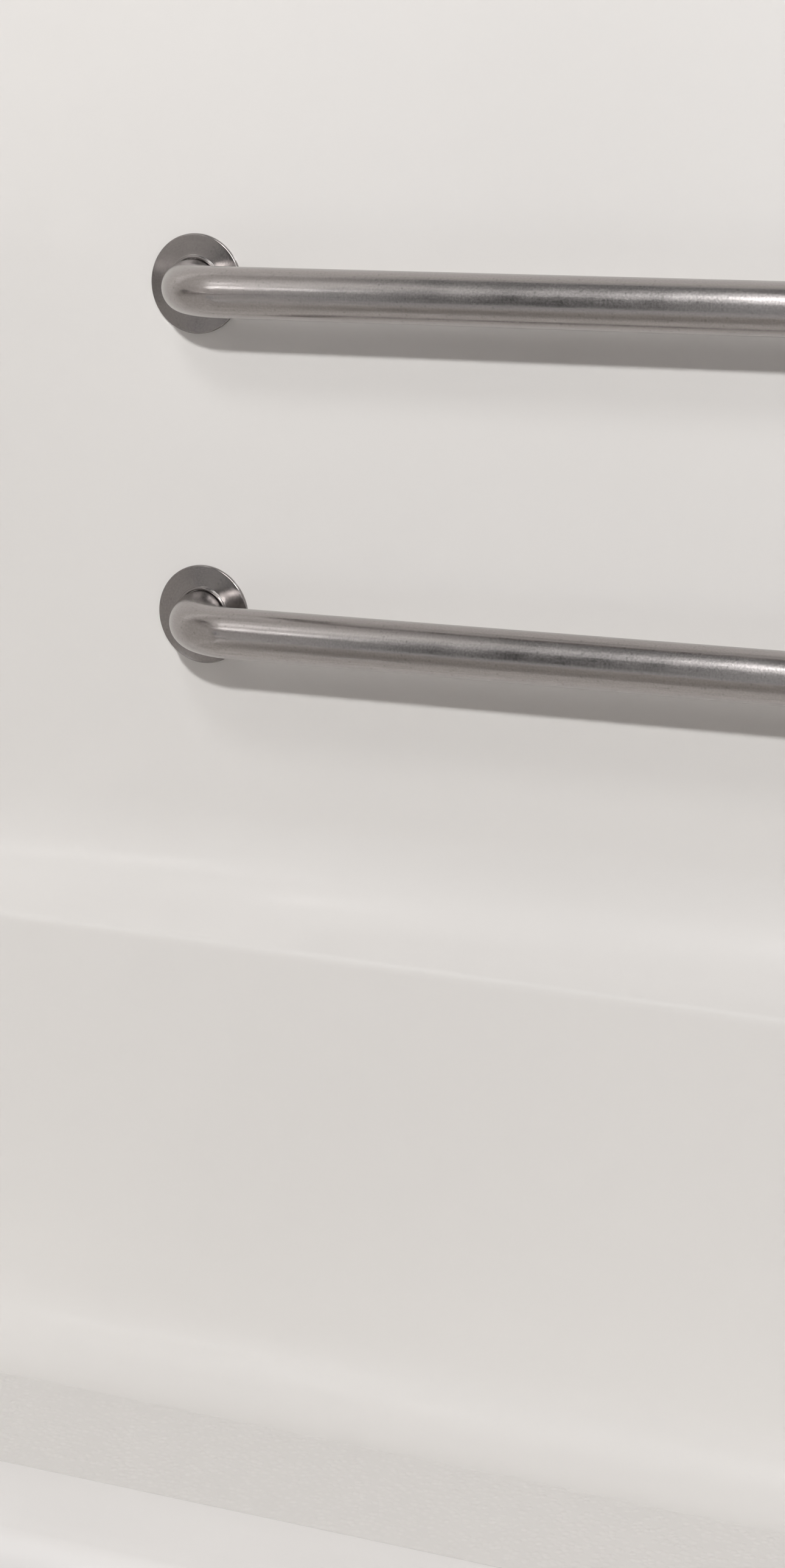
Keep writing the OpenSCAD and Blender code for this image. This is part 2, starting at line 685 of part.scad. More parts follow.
// Elbow behind the tub's end: a socket on the overflow tube and a flanged mouth towards the overflow hole
module overflow_head() {
  color(brass) difference() {
    union() {
      translate([over_x, 0, overflow_h - 48]) cylinder(r = waste_r + 3, h = 74);
      translate([over_x, 0, overflow_h]) rotate([0, 90, 0]) cylinder(r = waste_r + 3, h = head_back - over_x);
      translate([head_back - 3, 0, overflow_h]) rotate([0, 90, 0]) cylinder(r = overflow_r - 2, h = 3);
    }
    translate([over_x, 0, overflow_h - 60]) cylinder(r = waste_r - waste_wall, h = 82);
    translate([over_x, 0, overflow_h - 49]) cylinder(r = waste_r + seat_gap, h = 15.4);
    translate([over_x, 0, overflow_h]) rotate([0, 90, 0]) cylinder(r = waste_r - waste_wall, h = 60);
    each_overflow_screw() cylinder(r = 2.1, h = 60, center = true);
  }
}

module each_overflow_screw() {
  for (side = [-1, 1]) translate([head_back, side * 31, overflow_h]) rotate([0, 90, 0]) children();
}

module overflow_gasket() {
  color(black) difference() {
    translate([head_back, 0, overflow_h]) rotate([0, 90, 0]) tube(overflow_r - 2, overflow_r - 2 - overflow_hole_r, gasket_t);
    each_overflow_screw() cylinder(r = 2.3, h = 60, center = true);
  }
}

pivot_x = over_x + trip_arm;
face_x = edge_x0 + edge_roll;
ear_gap = 5;

// Face plate with a slot for the lever and two ears behind it that hold the lever's pin
module overflow_plate() {
  color(chrome) difference() {
    union() {
      translate([face_x, 0, overflow_h]) rotate([0, 90, 0]) cylinder(r1 = overflow_r, r2 = overflow_r - 3, h = 3);
      for (y = [-ear_gap - 2.5, ear_gap]) translate([pivot_x - 5, y, overflow_h - 6]) cube([face_x - pivot_x + 5, 2.5, 12]);
    }
    translate([face_x - cut, -3.2, overflow_h - 10]) cube([5, 6.4, 20]);
    translate([pivot_x, 0, overflow_h]) rotate([90, 0, 0]) cylinder(r = 1.5, h = 40, center = true);
    each_overflow_screw() cylinder(r = 2.3, h = 60, center = true);
  }
}

module overflow_screws() {
  color(chrome) for (side = [-1, 1]) translate([face_x + 3, side * 31, overflow_h]) rotate([0, 90, 0]) {
    cylinder(r = 4, h = 2);
    translate([0, 0, -16]) cylinder(r = 2, h = 16);
  }
}

lever_up = 16;

// Trip lever: a blade through the plate's slot and an arm behind it with a pin for the linkage's eye
module trip_lever() {
  color(chrome) translate([pivot_x, 0, overflow_h]) rotate([0, -lever_up, 0]) difference() {
    union() {
      rotate([90, 0, 0]) cylinder(r = 4.5, h = 5, center = true);
      translate([0, -2, -2]) cube([face_x - pivot_x + 24, 4, 4]);
      translate([face_x - pivot_x + 22, 0, 0]) rotate([90, 0, 0]) cylinder(r = 5, h = 9, center = true);
      translate([-trip_arm - 3, 1.4, -2.5]) cube([trip_arm + 3, 1.6, 5]);
      translate([-trip_arm, 0, 0]) rotate([90, 0, 0]) cylinder(r = 1.4, h = 5, center = true);
    }
    rotate([90, 0, 0]) cylinder(r = 1.5 + run_gap, h = 20, center = true);
  }
}

module trip_pin() {
  color(steel) translate([pivot_x, 0, overflow_h]) rotate([90, 0, 0]) cylinder(r = 1.5, h = 2 * ear_gap + 5, center = true);
}

plunger_r = 14;
plunger_seat = 18;
plunger_z = plunger_seat + 0.3;
link_top = overflow_h - trip_arm * sin(lever_up);

// Eye plate round the lever's pin, and the rod down the overflow tube to the plunger
module trip_linkage() {
  color(brass) translate([over_x, 0, 0]) {
    difference() {
      translate([-7, -1, link_top - 7]) cube([14, 2, 14]);
      translate([-4, -2, link_top - 1.9]) cube([8, 4, 3.8]);
    }
    translate([0, 0, plunger_z + 18]) cylinder(r = 1.6, h = link_top - 6.5 - plunger_z - 18);
  }
}

module waste_plunger() {
  color(brass) translate([over_x, 0, plunger_z]) difference() {
    cylinder(r = plunger_r, h = 18);
    translate([0, 0, -cut]) cylinder(r = plunger_r - 4, h = 14);
  }
}

// Mixing valve on the control wall, in its frame: X towards the back, Y up, Z out of the wall

valve_hole_r = 50;
pipe_hole_r = 14;
body_z = -44;
pipe_r = 7.94;
pipe_wall = 0.9;
port = 14;
barrel_r = 27;
cartridge_r = 16;

module at_valve() from_control_wall(-control_y, valve_h) children();

module valve_body() {
  color(brass) at_valve() difference() {
    union() {
      translate([0, 0, body_z - 22]) cylinder(r = barrel_r, h = 22 - body_z - 3);
      for (a = [0 : 90 : 270]) translate([0, 0, body_z]) rotate([0, 90, a]) cylinder(r = 12, h = 60);
      for (a = [0, 180]) rotate([0, 0, a]) translate([barrel_r - 3, -7, -14]) cube([17, 14, 9]);
    }
    translate([0, 0, body_z - 8]) cylinder(r = cartridge_r + seat_gap, h = 60);
    for (a = [0 : 90 : 270]) translate([0, 0, body_z]) rotate([0, 90, a]) {
      translate([0, 0, 10]) cylinder(r = pipe_r - pipe_wall, h = 60);
      translate([0, 0, 60 - port]) cylinder(r = pipe_r + 0.06, h = 20);
    }
    each_face_screw() translate([0, 0, -20]) cylinder(r = 2.1, h = 40);
  }
}

module each_face_screw() {
  for (x = [-36, 36]) translate([x, 0, 0]) children();
}

module valve_cartridge() {
  color(black) at_valve() difference() {
    translate([0, 0, body_z - 8]) cylinder(r = cartridge_r, h = 8 - body_z + 6);
    translate([0, 0, body_z + 10]) cylinder(r = stem_r + run_gap, h = 60);
    for (a = [0 : 90 : 270]) translate([0, 0, body_z]) rotate([0, 90, a]) cylinder(r = 5, h = 30);
  }
}

stem_r = 6;
handle_z = 34;

module valve_stem() {
  color(brass) at_valve() translate([0, 0, body_z + 10.3]) difference() {
    cylinder(r = stem_r, h = handle_z + 14 - body_z - 10.3);
    translate([0, 0, handle_z + 2 - body_z - 10.3]) cylinder(r = 2, h = 20);
  }
}

module valve_sleeve() {
  color(chrome) at_valve() translate([0, 0, 4]) difference() {
    cylinder(r1 = 24, r2 = 21, h = handle_z - 6);
    translate([0, 0, -cut]) cylinder(r = cartridge_r + seat_gap, h = 60);
  }
}

module face_plate() {
  color(chrome) at_valve() difference() {
    rotate_extrude() polygon(concat([[cartridge_r + 1, 0], [face_plate_r, 0], [face_plate_r, 2]],
      [[face_plate_r - 3, 4], [face_plate_r - 14, 5.5], [26, 4], [cartridge_r + 1, 4]]));
    each_face_screw() translate([0, 0, -cut]) cylinder(r = 2.3, h = 20);
  }
}

module face_plate_screws() {
  color(chrome) at_valve() each_face_screw() {
    translate([0, 0, 4.5]) cylinder(r = 4, h = 2.2);
    translate([0, 0, -16]) cylinder(r = 2, h = 21);
  }
}

// Lever handle: a hub on the stem and a rounded blade, hanging down when the water is off
module lever_handle() {
  color(chrome) at_valve() translate([0, 0, handle_z]) difference() {
    union() {
      cylinder(r1 = 22, r2 = 20, h = 22);
      hull() {
        translate([0, -12, 12]) cylinder(r = 10, h = 8, $fn = 32);
        translate([0, -lever_len + 8, 16]) cylinder(r = 7, h = 6, $fn = 32);
      }
    }
    translate([0, 0, -cut]) cylinder(r = stem_r + 0.02, h = 15.4);
    translate([0, 0, 0]) cylinder(r = 2.3, h = 40);
    translate([0, 0, 18]) cylinder(r = 4.4, h = 40);
  }
}

module handle_screw() {
  color(chrome) at_valve() translate([0, 0, handle_z]) {
    translate([0, 0, 18]) cylinder(r = 4.2, h = 3);
    translate([0, 0, 6]) cylinder(r = 1.95, h = 12);
  }
}

// Spout

supply_x = -wall_x + body_z;
elbow_r = 13;
thread_r = 10.65;

module spout_drop_pipe() {
  top = valve_h - 60 + port - 0.3;
  color(brass) translate([supply_x, -control_y, spout_h + elbow_r + 1]) tube(pipe_r, pipe_wall, top - spout_h - elbow_r - 1);
}

// Elbow with one upright socket for a pipe and one threaded mouth towards the wall; up is 1 or -1
module supply_elbow(z, up) {
  color(brass) translate([supply_x, -control_y, z]) difference() {
    union() {
      sphere(r = elbow_r);
      translate([0, 0, up > 0 ? 0 : -elbow_r - port]) cylinder(r = 11, h = elbow_r + port);
      rotate([0, 90, 0]) cylinder(r = elbow_r, h = 28);
    }
    translate([0, 0, up > 0 ? 0 : -60]) cylinder(r = 7, h = 60);
    translate([0, 0, up > 0 ? elbow_r : -60 - elbow_r]) cylinder(r = pipe_r + 0.06, h = 60);
    rotate([0, 90, 0]) cylinder(r = 7, h = 40);
    translate([12, 0, 0]) rotate([0, 90, 0]) cylinder(r = thread_r + seat_gap, h = 40);
  }
}

module spout_elbow() supply_elbow(spout_h, 1);

nipple_end = 58;

module spout_nipple() {
  color(brass) from_control_wall(-control_y, spout_h) translate([0, 0, body_z + 12.5])
    tube(thread_r, 2.5, nipple_end - body_z - 12.5);
}

knob_z = spout_len - 26;
knob_y = 21;

// Spout: a tapering body over the nipple, with its outlet below the nose and the diverter's boss on top
module tub_spout() {
  color(chrome) from_control_wall(-control_y, spout_h) difference() {
    union() {
      translate([0, 0, 0.3]) cylinder(r1 = 31, r2 = 24, h = spout_len - 14);
      translate([0, 0, spout_len - 13.7]) cylinder(r1 = 24, r2 = 15, h = 14);
      translate([0, 0, knob_z]) rotate([90, 0, 0]) translate([0, 0, 0]) cylinder(r = 18, h = 34);
      translate([0, knob_y + 6, knob_z]) rotate([90, 0, 0]) cylinder(r = 9, h = 12);
    }
    translate([0, 0, -cut]) cylinder(r = thread_r + seat_gap, h = nipple_end + 1.3);
    translate([0, 0, nipple_end]) cylinder(r = 8, h = knob_z - nipple_end + 2);
    translate([0, 0, knob_z]) rotate([90, 0, 0]) cylinder(r = 13, h = 60);
    translate([0, knob_y + 30, knob_z]) rotate([90, 0, 0]) cylinder(r = 3 + run_gap, h = 60);
    translate([0, 0, knob_z]) rotate([90, 0, 0]) translate([0, 0, -12]) cylinder(r = 13, h = 13);
    translate([0, -10, 16]) rotate([90, 0, 0]) cylinder(r = 3.1, h = 60);
  }
}

module spout_set_screw() {
  color(steel) from_control_wall(-control_y, spout_h) translate([0, -thread_r - 0.3, 16]) rotate([90, 0, 0]) cylinder(r = 3, h = 9);
}

// Knob, stem and the gate that shuts the spout's mouth when it is pulled up
module diverter_knob() {
  color(chrome) from_control_wall(-control_y, spout_h) translate([0, 0, knob_z]) rotate([-90, 0, 0]) {
    translate([0, 0, 1]) cylinder(r = 3, h = knob_y + 8);
    translate([0, 0, knob_y + 6.3]) cylinder(r1 = 4.5, r2 = 8, h = 5);
    translate([0, 0, knob_y + 11.3]) cylinder(r = 8, h = 5);
    translate([0, 0, 0]) cylinder(r = 10, h = 2);
  }
}

// Shower

module riser_pipe() {
  low = valve_h + 60 - port + 0.3;
  color(brass) translate([supply_x, -control_y, low]) tube(pipe_r, pipe_wall, shower_h - elbow_r - 1 - low);
}

module shower_elbow() supply_elbow(shower_h, -1);

arm_out = 95;
arm_bend = 40;
arm_drop = 45;
arm_tail = 38;
neck_len = 14;
ball_r = 13;

// Where the arm's ball stands, out from the wall and below the arm's straight run
ball_out = arm_out + arm_bend * sin(arm_drop) + arm_tail * cos(arm_drop);
ball_down = arm_bend * (1 - cos(arm_drop)) + arm_tail * sin(arm_drop);

// The arm's run; its two straight ends are a little stouter than the bend and lap over it
module shower_arm_run(r, past) {
  lap = 0.6;
  translate([0, 0, body_z + 12.5 - abs(past)]) cylinder(r = r, h = arm_out - body_z - 12.5 + abs(past) + lap);
  translate([0, -arm_bend, arm_out]) rotate([0, -90, 0]) rotate([0, 0, 90 - arm_drop])
    rotate_extrude(angle = arm_drop) translate([arm_bend, 0]) circle(r = r - 0.35);
  translate([0, -arm_bend * (1 - cos(arm_drop)), arm_out + arm_bend * sin(arm_drop)]) rotate([arm_drop, 0, 0])
    translate([0, 0, -lap]) cylinder(r = r, h = arm_tail - neck_len + lap + past);
}

module shower_arm() {
  color(chrome) difference() {
    union() {
      from_control_wall(-control_y, shower_h) shower_arm_run(thread_r, 0);
      at_shower_head() sphere(r = ball_r);
      at_shower_head() translate([0, 0, -neck_len - cut]) cylinder(r = 7.5, h = neck_len + cut);
    }
    from_control_wall(-control_y, shower_h) shower_arm_run(thread_r - 2.5, -4);
    at_shower_head() translate([0, 0, -neck_len - 5]) cylinder(r = 5, h = neck_len + 5 + 2 * ball_r);
  }
}

module arm_flange() {
  color(chrome) from_control_wall(-control_y, shower_h) rotate_extrude()
    polygon([[thread_r + 0.2, 9], [thread_r + 0.2, 12], [14, 12], [24, 7], [32, 2], [32, 0], [30, 0], [23, 5], [14, 9]]);
}

module at_shower_head() {
  from_control_wall(-control_y, shower_h) translate([0, -ball_down, ball_out]) rotate([arm_drop, 0, 0]) children();
}

// Bell of the shower head: a socket round the arm's ball, open behind it, widening to the rim
module shower_head() {
  color(chrome) at_shower_head() difference() {
    rotate_extrude() polygon([[0, -7], [18, -7], [19, 14], [24, 26], [40, 44], [44, 52], [44, 60], [0, 60]]);
    sphere(r = ball_r + 0.35);
    translate([0, 0, -20]) cylinder(r = ball_r - 2, h = 20);
    translate([0, 0, 8]) cylinder(r = 7, h = 60);
    translate([0, 0, 40]) cylinder(r1 = 28, r2 = 40, h = 14);
    translate([0, 0, 53.9]) cylinder(r = 40 + seat_gap, h = 20);
  }
}

module spray_face() {
  color(black) at_shower_head() translate([0, 0, 54]) difference() {
    cylinder(r = 40, h = 5);
    for (ring = [[10, 6], [20, 12], [30, 18]], i = [0 : ring[1] - 1]) rotate([0, 0, i * 360 / ring[1]])
      translate([ring[0], 0, -cut]) cylinder(r = 1.2, h = 8, $fn = 8);
  }
}

module upper_bar_tube() place_upper_bar() bar_tube(back_bar_len);
module upper_bar_plates() place_upper_bar() bar_plates(back_bar_len);
module upper_bar_covers() place_upper_bar() bar_covers(back_bar_len);
module upper_bar_screws() place_upper_bar() bar_screws(back_bar_len);
module lower_bar_tube() place_lower_bar() bar_tube(back_bar_len);
module lower_bar_plates() place_lower_bar() bar_plates(back_bar_len);
module lower_bar_covers() place_lower_bar() bar_covers(back_bar_len);
module lower_bar_screws() place_lower_bar() bar_screws(back_bar_len);
module control_bar_tube() place_control_bar() bar_tube(control_bar_len);
module control_bar_plates() place_control_bar() bar_plates(control_bar_len);
module control_bar_covers() place_control_bar() bar_covers(control_bar_len);
module control_bar_screws() place_control_bar() bar_screws(control_bar_len);

moulded_shell();
back_wall_backer();
control_wall_backer();
head_wall_backer();
floor_board();
base_runners();
apron_stiffener();
seat_supports();
upper_bar_tube();
upper_bar_plates();
upper_bar_covers();
upper_bar_screws();
lower_bar_tube();
lower_bar_plates();
lower_bar_covers();
lower_bar_screws();
control_bar_tube();
control_bar_plates();
control_bar_covers();
control_bar_screws();
drain_flange();
drain_gasket();
drain_strainer();
strainer_screw();
drain_shoe();
waste_arm();
waste_tee();
waste_slip_nuts();
waste_slip_washers();
overflow_tube();
overflow_head();
overflow_gasket();
overflow_plate();
overflow_screws();
trip_lever();
trip_pin();
trip_linkage();
waste_plunger();
valve_body();
valve_cartridge();
valve_stem();
valve_sleeve();
face_plate();
face_plate_screws();
lever_handle();
handle_screw();
spout_drop_pipe();
spout_elbow();
spout_nipple();
tub_spout();
spout_set_screw();
diverter_knob();
riser_pipe();
shower_elbow();
shower_arm();
arm_flange();
shower_head();
spray_face();
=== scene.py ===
"""Dressed model of a transfer tub: a moulded tub and shower module with a raised seat and grab bars.

The file is laid out as an add-on and is run as a script. Lengths are in metres, X runs along the tub, +Y is
the back wall and Z is up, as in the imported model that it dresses.
"""
import json
import math

import bmesh
import bpy
import numpy as np
from bpy.props import FloatProperty, FloatVectorProperty, PointerProperty
from mathutils import Matrix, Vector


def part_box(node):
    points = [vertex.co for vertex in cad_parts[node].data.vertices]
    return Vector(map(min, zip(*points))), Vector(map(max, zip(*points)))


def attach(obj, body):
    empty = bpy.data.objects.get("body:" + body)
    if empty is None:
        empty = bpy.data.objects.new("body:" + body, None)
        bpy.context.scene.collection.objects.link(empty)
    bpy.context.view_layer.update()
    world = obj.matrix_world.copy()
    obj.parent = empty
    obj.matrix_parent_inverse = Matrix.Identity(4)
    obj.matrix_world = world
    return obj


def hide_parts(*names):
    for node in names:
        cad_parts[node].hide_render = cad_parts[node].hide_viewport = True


bl_info = {
    "name": "Transfer Tub Module",
    "version": (1, 0, 0),
    "blender": (4, 5, 0),
    "location": "View3D > Sidebar > Transfer Tub",
    "description": "Builds the visible surfaces, finishes and studio of a moulded transfer tub module",
    "category": "Add Mesh",
}

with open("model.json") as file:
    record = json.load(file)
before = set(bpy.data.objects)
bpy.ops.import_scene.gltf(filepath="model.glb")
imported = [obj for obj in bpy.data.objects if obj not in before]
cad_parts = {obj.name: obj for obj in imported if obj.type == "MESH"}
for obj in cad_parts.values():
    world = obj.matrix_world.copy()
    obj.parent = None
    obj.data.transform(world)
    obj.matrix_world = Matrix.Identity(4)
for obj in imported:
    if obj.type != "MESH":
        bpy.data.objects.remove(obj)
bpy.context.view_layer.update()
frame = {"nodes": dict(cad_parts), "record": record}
SHELL_LOW, SHELL_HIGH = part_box("moulded_shell")
UP = np.array([0.0, 0.0, 1.0])
OPEN_SIDE = np.array([0.0, -1.0, 0.0])


# Property groups

def metres(name, default, description):
    """A size in metres."""
    return FloatProperty(name=name, description=description, default=default, unit="LENGTH")


def amount(name, default, description):
    """A plain number, such as a slope or a lamp's power."""
    return FloatProperty(name=name, description=description, default=default)


def finish_colour(name, default, description):
    """The base colour of a finish."""
    return FloatVectorProperty(name=name, description=description, subtype="COLOR", size=3, default=default)


class ShellSizes(bpy.types.PropertyGroup):
    """Sizes of the one-piece moulding."""

    half_len: metres("Half length", SHELL_HIGH.x, "Half of the module's length")
    half_dep: metres("Half depth", -SHELL_LOW.y, "Half of the module's depth")
    flange_top: metres("Flange top", SHELL_HIGH.z, "Height of the nailing flange's top edge")
    wall_top: metres("Wall top", SHELL_HIGH.z - 0.025, "Height of the ledge on top of the walls")
    wall_x: metres("End wall", 0.727, "Distance of the end walls' faces from the middle")
    wall_y: metres("Back wall", 0.433, "Distance of the back wall's face from the middle")
    corner: metres("Wall corner", 0.090, "Radius of the corners between the walls")
    rim_h: metres("Rim height", 0.402, "Height of the rim and of the ledge's edge")
    cove_h: metres("Cove height", 0.086, "Height of the cove above the ledge's edge")
    ledge_control: metres("Ledge, control end", 0.041, "Depth of the ledge at the control end")
    ledge_seat: metres("Ledge, seat end", 0.072, "Depth of the ledge where it meets the seat")
    seat_x: metres("Seat edge", 0.346, "Where the seat starts along the tub")
    seat_h: metres("Seat height", 0.438, "Height of the transfer seat")
    front_y: metres("Front rim", -0.387, "Where the tub's opening starts behind the apron")
    lip: metres("Lip roll", 0.004, "Width of the small roll from the ledge into the tub")
    side_lean: metres("Side lean", 0.030, "How far the tub's long walls lean in")
    head_lean: metres("Head lean", 0.064, "How far the tub's head end leans in")
    floor_cove: metres("Floor cove", 0.060, "Radius between the tub's walls and its floor")
    floor_h: metres("Floor height", 0.068, "Height of the tub's floor at the drain")
    fall: amount("Floor fall", 0.010, "Fall of the floor for each unit of its length")
    drain_x: metres("Drain", -0.557, "Where the drain stands along the tub")
    column: metres("Front roll", 0.025, "Radius of the roll at the walls' front edges")
    rim_round: metres("Rim roll", 0.016, "Radius of the roll along the front rim")
    seat_round: metres("Seat roll", 0.020, "Radius of the roll along the seat's edge")
    laminate: metres("Laminate", 0.0048, "Thickness of the moulding")


class BarSizes(bpy.types.PropertyGroup):
    """Sizes of the grab bars."""

    tube: metres("Tube radius", 0.01905, "Outside radius of the bar tube")
    stand_off: metres("Stand-off", 0.05715, "From the wall to the tube's centreline")
    bend: metres("Bend", 0.054, "Centreline radius of the bends")
    plate: metres("Plate", 0.002, "Thickness of the mounting plate")
    cover: metres("Cover radius", 0.0381, "Radius of the snap covers")
    cover_h: metres("Cover height", 0.005, "Height of the cover's lip")


class FinishColours(bpy.types.PropertyGroup):
    """Base colours of the finishes."""

    gelcoat: finish_colour("Gelcoat", (0.78, 0.764, 0.742), "Warm white of the moulded surface")
    steel: finish_colour("Satin steel", (0.41, 0.385, 0.376), "Colour of the bars and covers")
    chrome: finish_colour("Chrome", (0.80, 0.81, 0.83), "Colour of the taps")
    brass: finish_colour("Brass", (0.62, 0.44, 0.20), "Colour of the rough pipework")
    ply: finish_colour("Plywood", (0.56, 0.39, 0.22), "Colour of the boards and runners")


class StudioSettings(bpy.types.PropertyGroup):
    """Lamps and background."""

    key: amount("Key lamp", 75.0, "Power of the small lamp above the camera")
    ceiling: amount("Ceiling lamp", 3.9, "Power of the softer lamp over the tub")
    fill: amount("Fill", 0.07, "Strength of the even light from all round")
    rear: amount("Rear lamps", 60.0, "Power of the wide lamps behind and beside the module")
    background: amount("Background", 0.92, "Brightness of the plain background")


# Node helpers

def node(tree, kind, inputs=None, **settings):
    """Adds a node, sets its attributes and fills or links its inputs."""
    made = tree.nodes.new(kind)
    for key, value in settings.items():
        setattr(made, key, value)
    for key, value in (inputs or {}).items():
        if isinstance(value, bpy.types.NodeSocket):
            tree.links.new(value, made.inputs[key])
        else:
            made.inputs[key].default_value = value
    return made


def sum_of(tree, operation, first, second):
    """The result of one arithmetic step on two values."""
    return node(tree, "ShaderNodeMath", {0: first, 1: second}, operation=operation).outputs[0]


def two_tone(tree, value, low, high):
    """Colour that goes from low to high with a value."""
    mixed = node(tree, "ShaderNodeMix", {"Factor": value, "A": low, "B": high}, data_type="RGBA")
    return mixed.outputs["Result"]


def group(name, result, **sockets):
    """An empty shader node group with one output; each input's kind follows from its default."""
    made = bpy.data.node_groups.new(name, "ShaderNodeTree")
    for label, default in sockets.items():
        kind = "NodeSocketFloat" if isinstance(default, float) else "NodeSocketVector"
        made.interface.new_socket(label, in_out="INPUT", socket_type=kind).default_value = default
    made.interface.new_socket(result, in_out="OUTPUT", socket_type="NodeSocketFloat")
    return made, made.nodes.new("NodeGroupInput").outputs, made.nodes.new("NodeGroupOutput").inputs[0]


def build_grain():
    """Noise drawn out along one direction: the point is scaled by Stretch, and Sharpness steepens it."""
    made, start, end = group("Grain", "Value", Vector=(0.0, 0.0, 0.0), Stretch=(1.0, 1.0, 1.0), Scale=10.0,
                             Detail=4.0, Sharpness=0.5)
    drawn = node(made, "ShaderNodeVectorMath", {0: start["Vector"], 1: start["Stretch"]},
                 operation="MULTIPLY")
    noise = node(made, "ShaderNodeTexNoise", {"Vector": drawn.outputs["Vector"], "Scale": start["Scale"],
                                              "Detail": start["Detail"], "Roughness": 0.6})
    half = sum_of(made, "MULTIPLY", start["Sharpness"], 0.5)
    steep = node(made, "ShaderNodeMapRange", {"Value": noise.outputs["Fac"], "From Min": half,
                                              "From Max": sum_of(made, "SUBTRACT", 1.0, half)})
    made.links.new(steep.outputs["Result"], end)
    return made


def build_spots():
    """Scattered soft-edged spots: the middles of Voronoi cells up to Size, in a Share of the cells."""
    made, start, end = group("Spots", "Mask", Vector=(0.0, 0.0, 0.0), Scale=200.0, Size=0.25, Share=0.4)
    cells = node(made, "ShaderNodeTexVoronoi", {"Vector": start["Vector"], "Scale": start["Scale"]})
    spot = node(made, "ShaderNodeMapRange", {"Value": cells.outputs["Distance"], "From Min": 0.0,
                                             "From Max": start["Size"], "To Min": 1.0, "To Max": 0.0})
    parts = node(made, "ShaderNodeSeparateColor", {"Color": cells.outputs["Color"]})
    chosen = sum_of(made, "LESS_THAN", parts.outputs["Red"], start["Share"])
    made.links.new(sum_of(made, "MULTIPLY", spot.outputs["Result"], chosen), end)
    return made


def shade(colour, factor):
    """The colour times a factor, with full alpha."""
    return (*(min(1.0, c * factor) for c in colour), 1.0)


def empty_tree(owner):
    """The node tree of a material or a world, with nothing in it."""
    owner.use_nodes = True
    owner.node_tree.nodes.clear()
    return owner.node_tree


def views(tree, mirrored):
    """1 for the camera's rays and for those through glass, and the given share for mirrored ones."""
    path = node(tree, "ShaderNodeLightPath").outputs
    glossy = sum_of(tree, "MULTIPLY", path["Is Glossy Ray"], mirrored)
    seen = sum_of(tree, "MAXIMUM", path["Is Camera Ray"], glossy)
    return sum_of(tree, "MAXIMUM", seen, path["Is Transmission Ray"])


class Finish:
    """A material under way: one Principled shader, and patterns worked out at a point of the piece."""

    def __init__(self, name, uv_map=None, **constants):
        self.name = name
        self.made = bpy.data.materials.new(name)
        self.tree = empty_tree(self.made)
        own = {key.replace("_", " "): value for key, value in constants.items()}
        self.shader = node(self.tree, "ShaderNodeBsdfPrincipled", own)
        node(self.tree, "ShaderNodeOutputMaterial", {"Surface": self.shader.outputs["BSDF"]})
        if uv_map:
            self.here = node(self.tree, "ShaderNodeUVMap", uv_map=uv_map).outputs["UV"]
        else:
            self.here = node(self.tree, "ShaderNodeTexCoord").outputs["Object"]

    def grain(self, scale, sharpness, **more):
        """The shared grain with this finish's own values."""
        inputs = {"Vector": self.here, "Scale": scale, "Sharpness": sharpness, **more}
        return node(self.tree, "ShaderNodeGroup", inputs, node_tree=PATTERNS["grain"]).outputs[0]

    def spots(self, scale, size, share):
        """The shared spots with this finish's own values."""
        inputs = {"Vector": self.here, "Scale": scale, "Size": size, "Share": share}
        return node(self.tree, "ShaderNodeGroup", inputs, node_tree=PATTERNS["spots"]).outputs[0]

    def most(self, first, second):
        """The larger of two values."""
        return sum_of(self.tree, "MAXIMUM", first, second)

    def mix(self, share, first, second):
        """The first value, with a share of the second."""
        return node(self.tree, "ShaderNodeMix", {"Factor": share, 2: first, 3: second}).outputs[0]

    def tones(self, value, low, high):
        """Colour that goes from low to high with a value."""
        return two_tone(self.tree, value, low, high)

    def between(self, value, low, high):
        """The value, from 0 to 1, carried to the range from low to high."""
        ranged = node(self.tree, "ShaderNodeMapRange", {"Value": value, "To Min": low, "To Max": high})
        return ranged.outputs["Result"]

    def relief(self, height, strength, distance, under=None):
        """Bump from a height, laid over another normal if one is given."""
        inputs = {"Height": height, "Strength": strength, "Distance": distance}
        if under is not None:
            inputs["Normal"] = under
        return node(self.tree, "ShaderNodeBump", inputs).outputs["Normal"]

    def done(self, base, rough, normal):
        """Feeds the shader and files the material under its name."""
        for label, value in (("Base Color", base), ("Roughness", rough), ("Normal", normal)):
            self.tree.links.new(value, self.shader.inputs[label])
        LOOKS[self.name] = self.made


# Materials

PATTERNS = {}
LOOKS = {}


def make_gelcoat(tone):
    """Warm white gelcoat: slight tone changes, long waves of the mould and a few specks of dust."""
    f = Finish("gelcoat")
    wave = f.relief(f.grain(3.0, 0.1, Detail=0.5, Stretch=(1.0, 1.0, 0.6)), 0.5, 0.0016)
    f.done(f.tones(f.grain(2.6, 0.2, Detail=1.0), shade(tone, 0.985), shade(tone, 1.01)),
           f.between(f.grain(7.0, 0.2, Detail=2.0), 0.17, 0.215),
           f.relief(f.spots(210.0, 0.16, 0.03), 0.12, 0.0001, wave))


def make_tub_floor(tone):
    """Gelcoat with the fine raised pattern underfoot: soft round pips in a dense scatter."""
    f = Finish("gelcoat_floor")
    pips = f.spots(190.0, 0.55, 1.0)
    f.done(f.tones(pips, shade(tone, 0.965), shade(tone, 1.0)), f.between(f.grain(14.0, 0.6), 0.34, 0.46),
           f.relief(pips, 0.55, 0.0006))


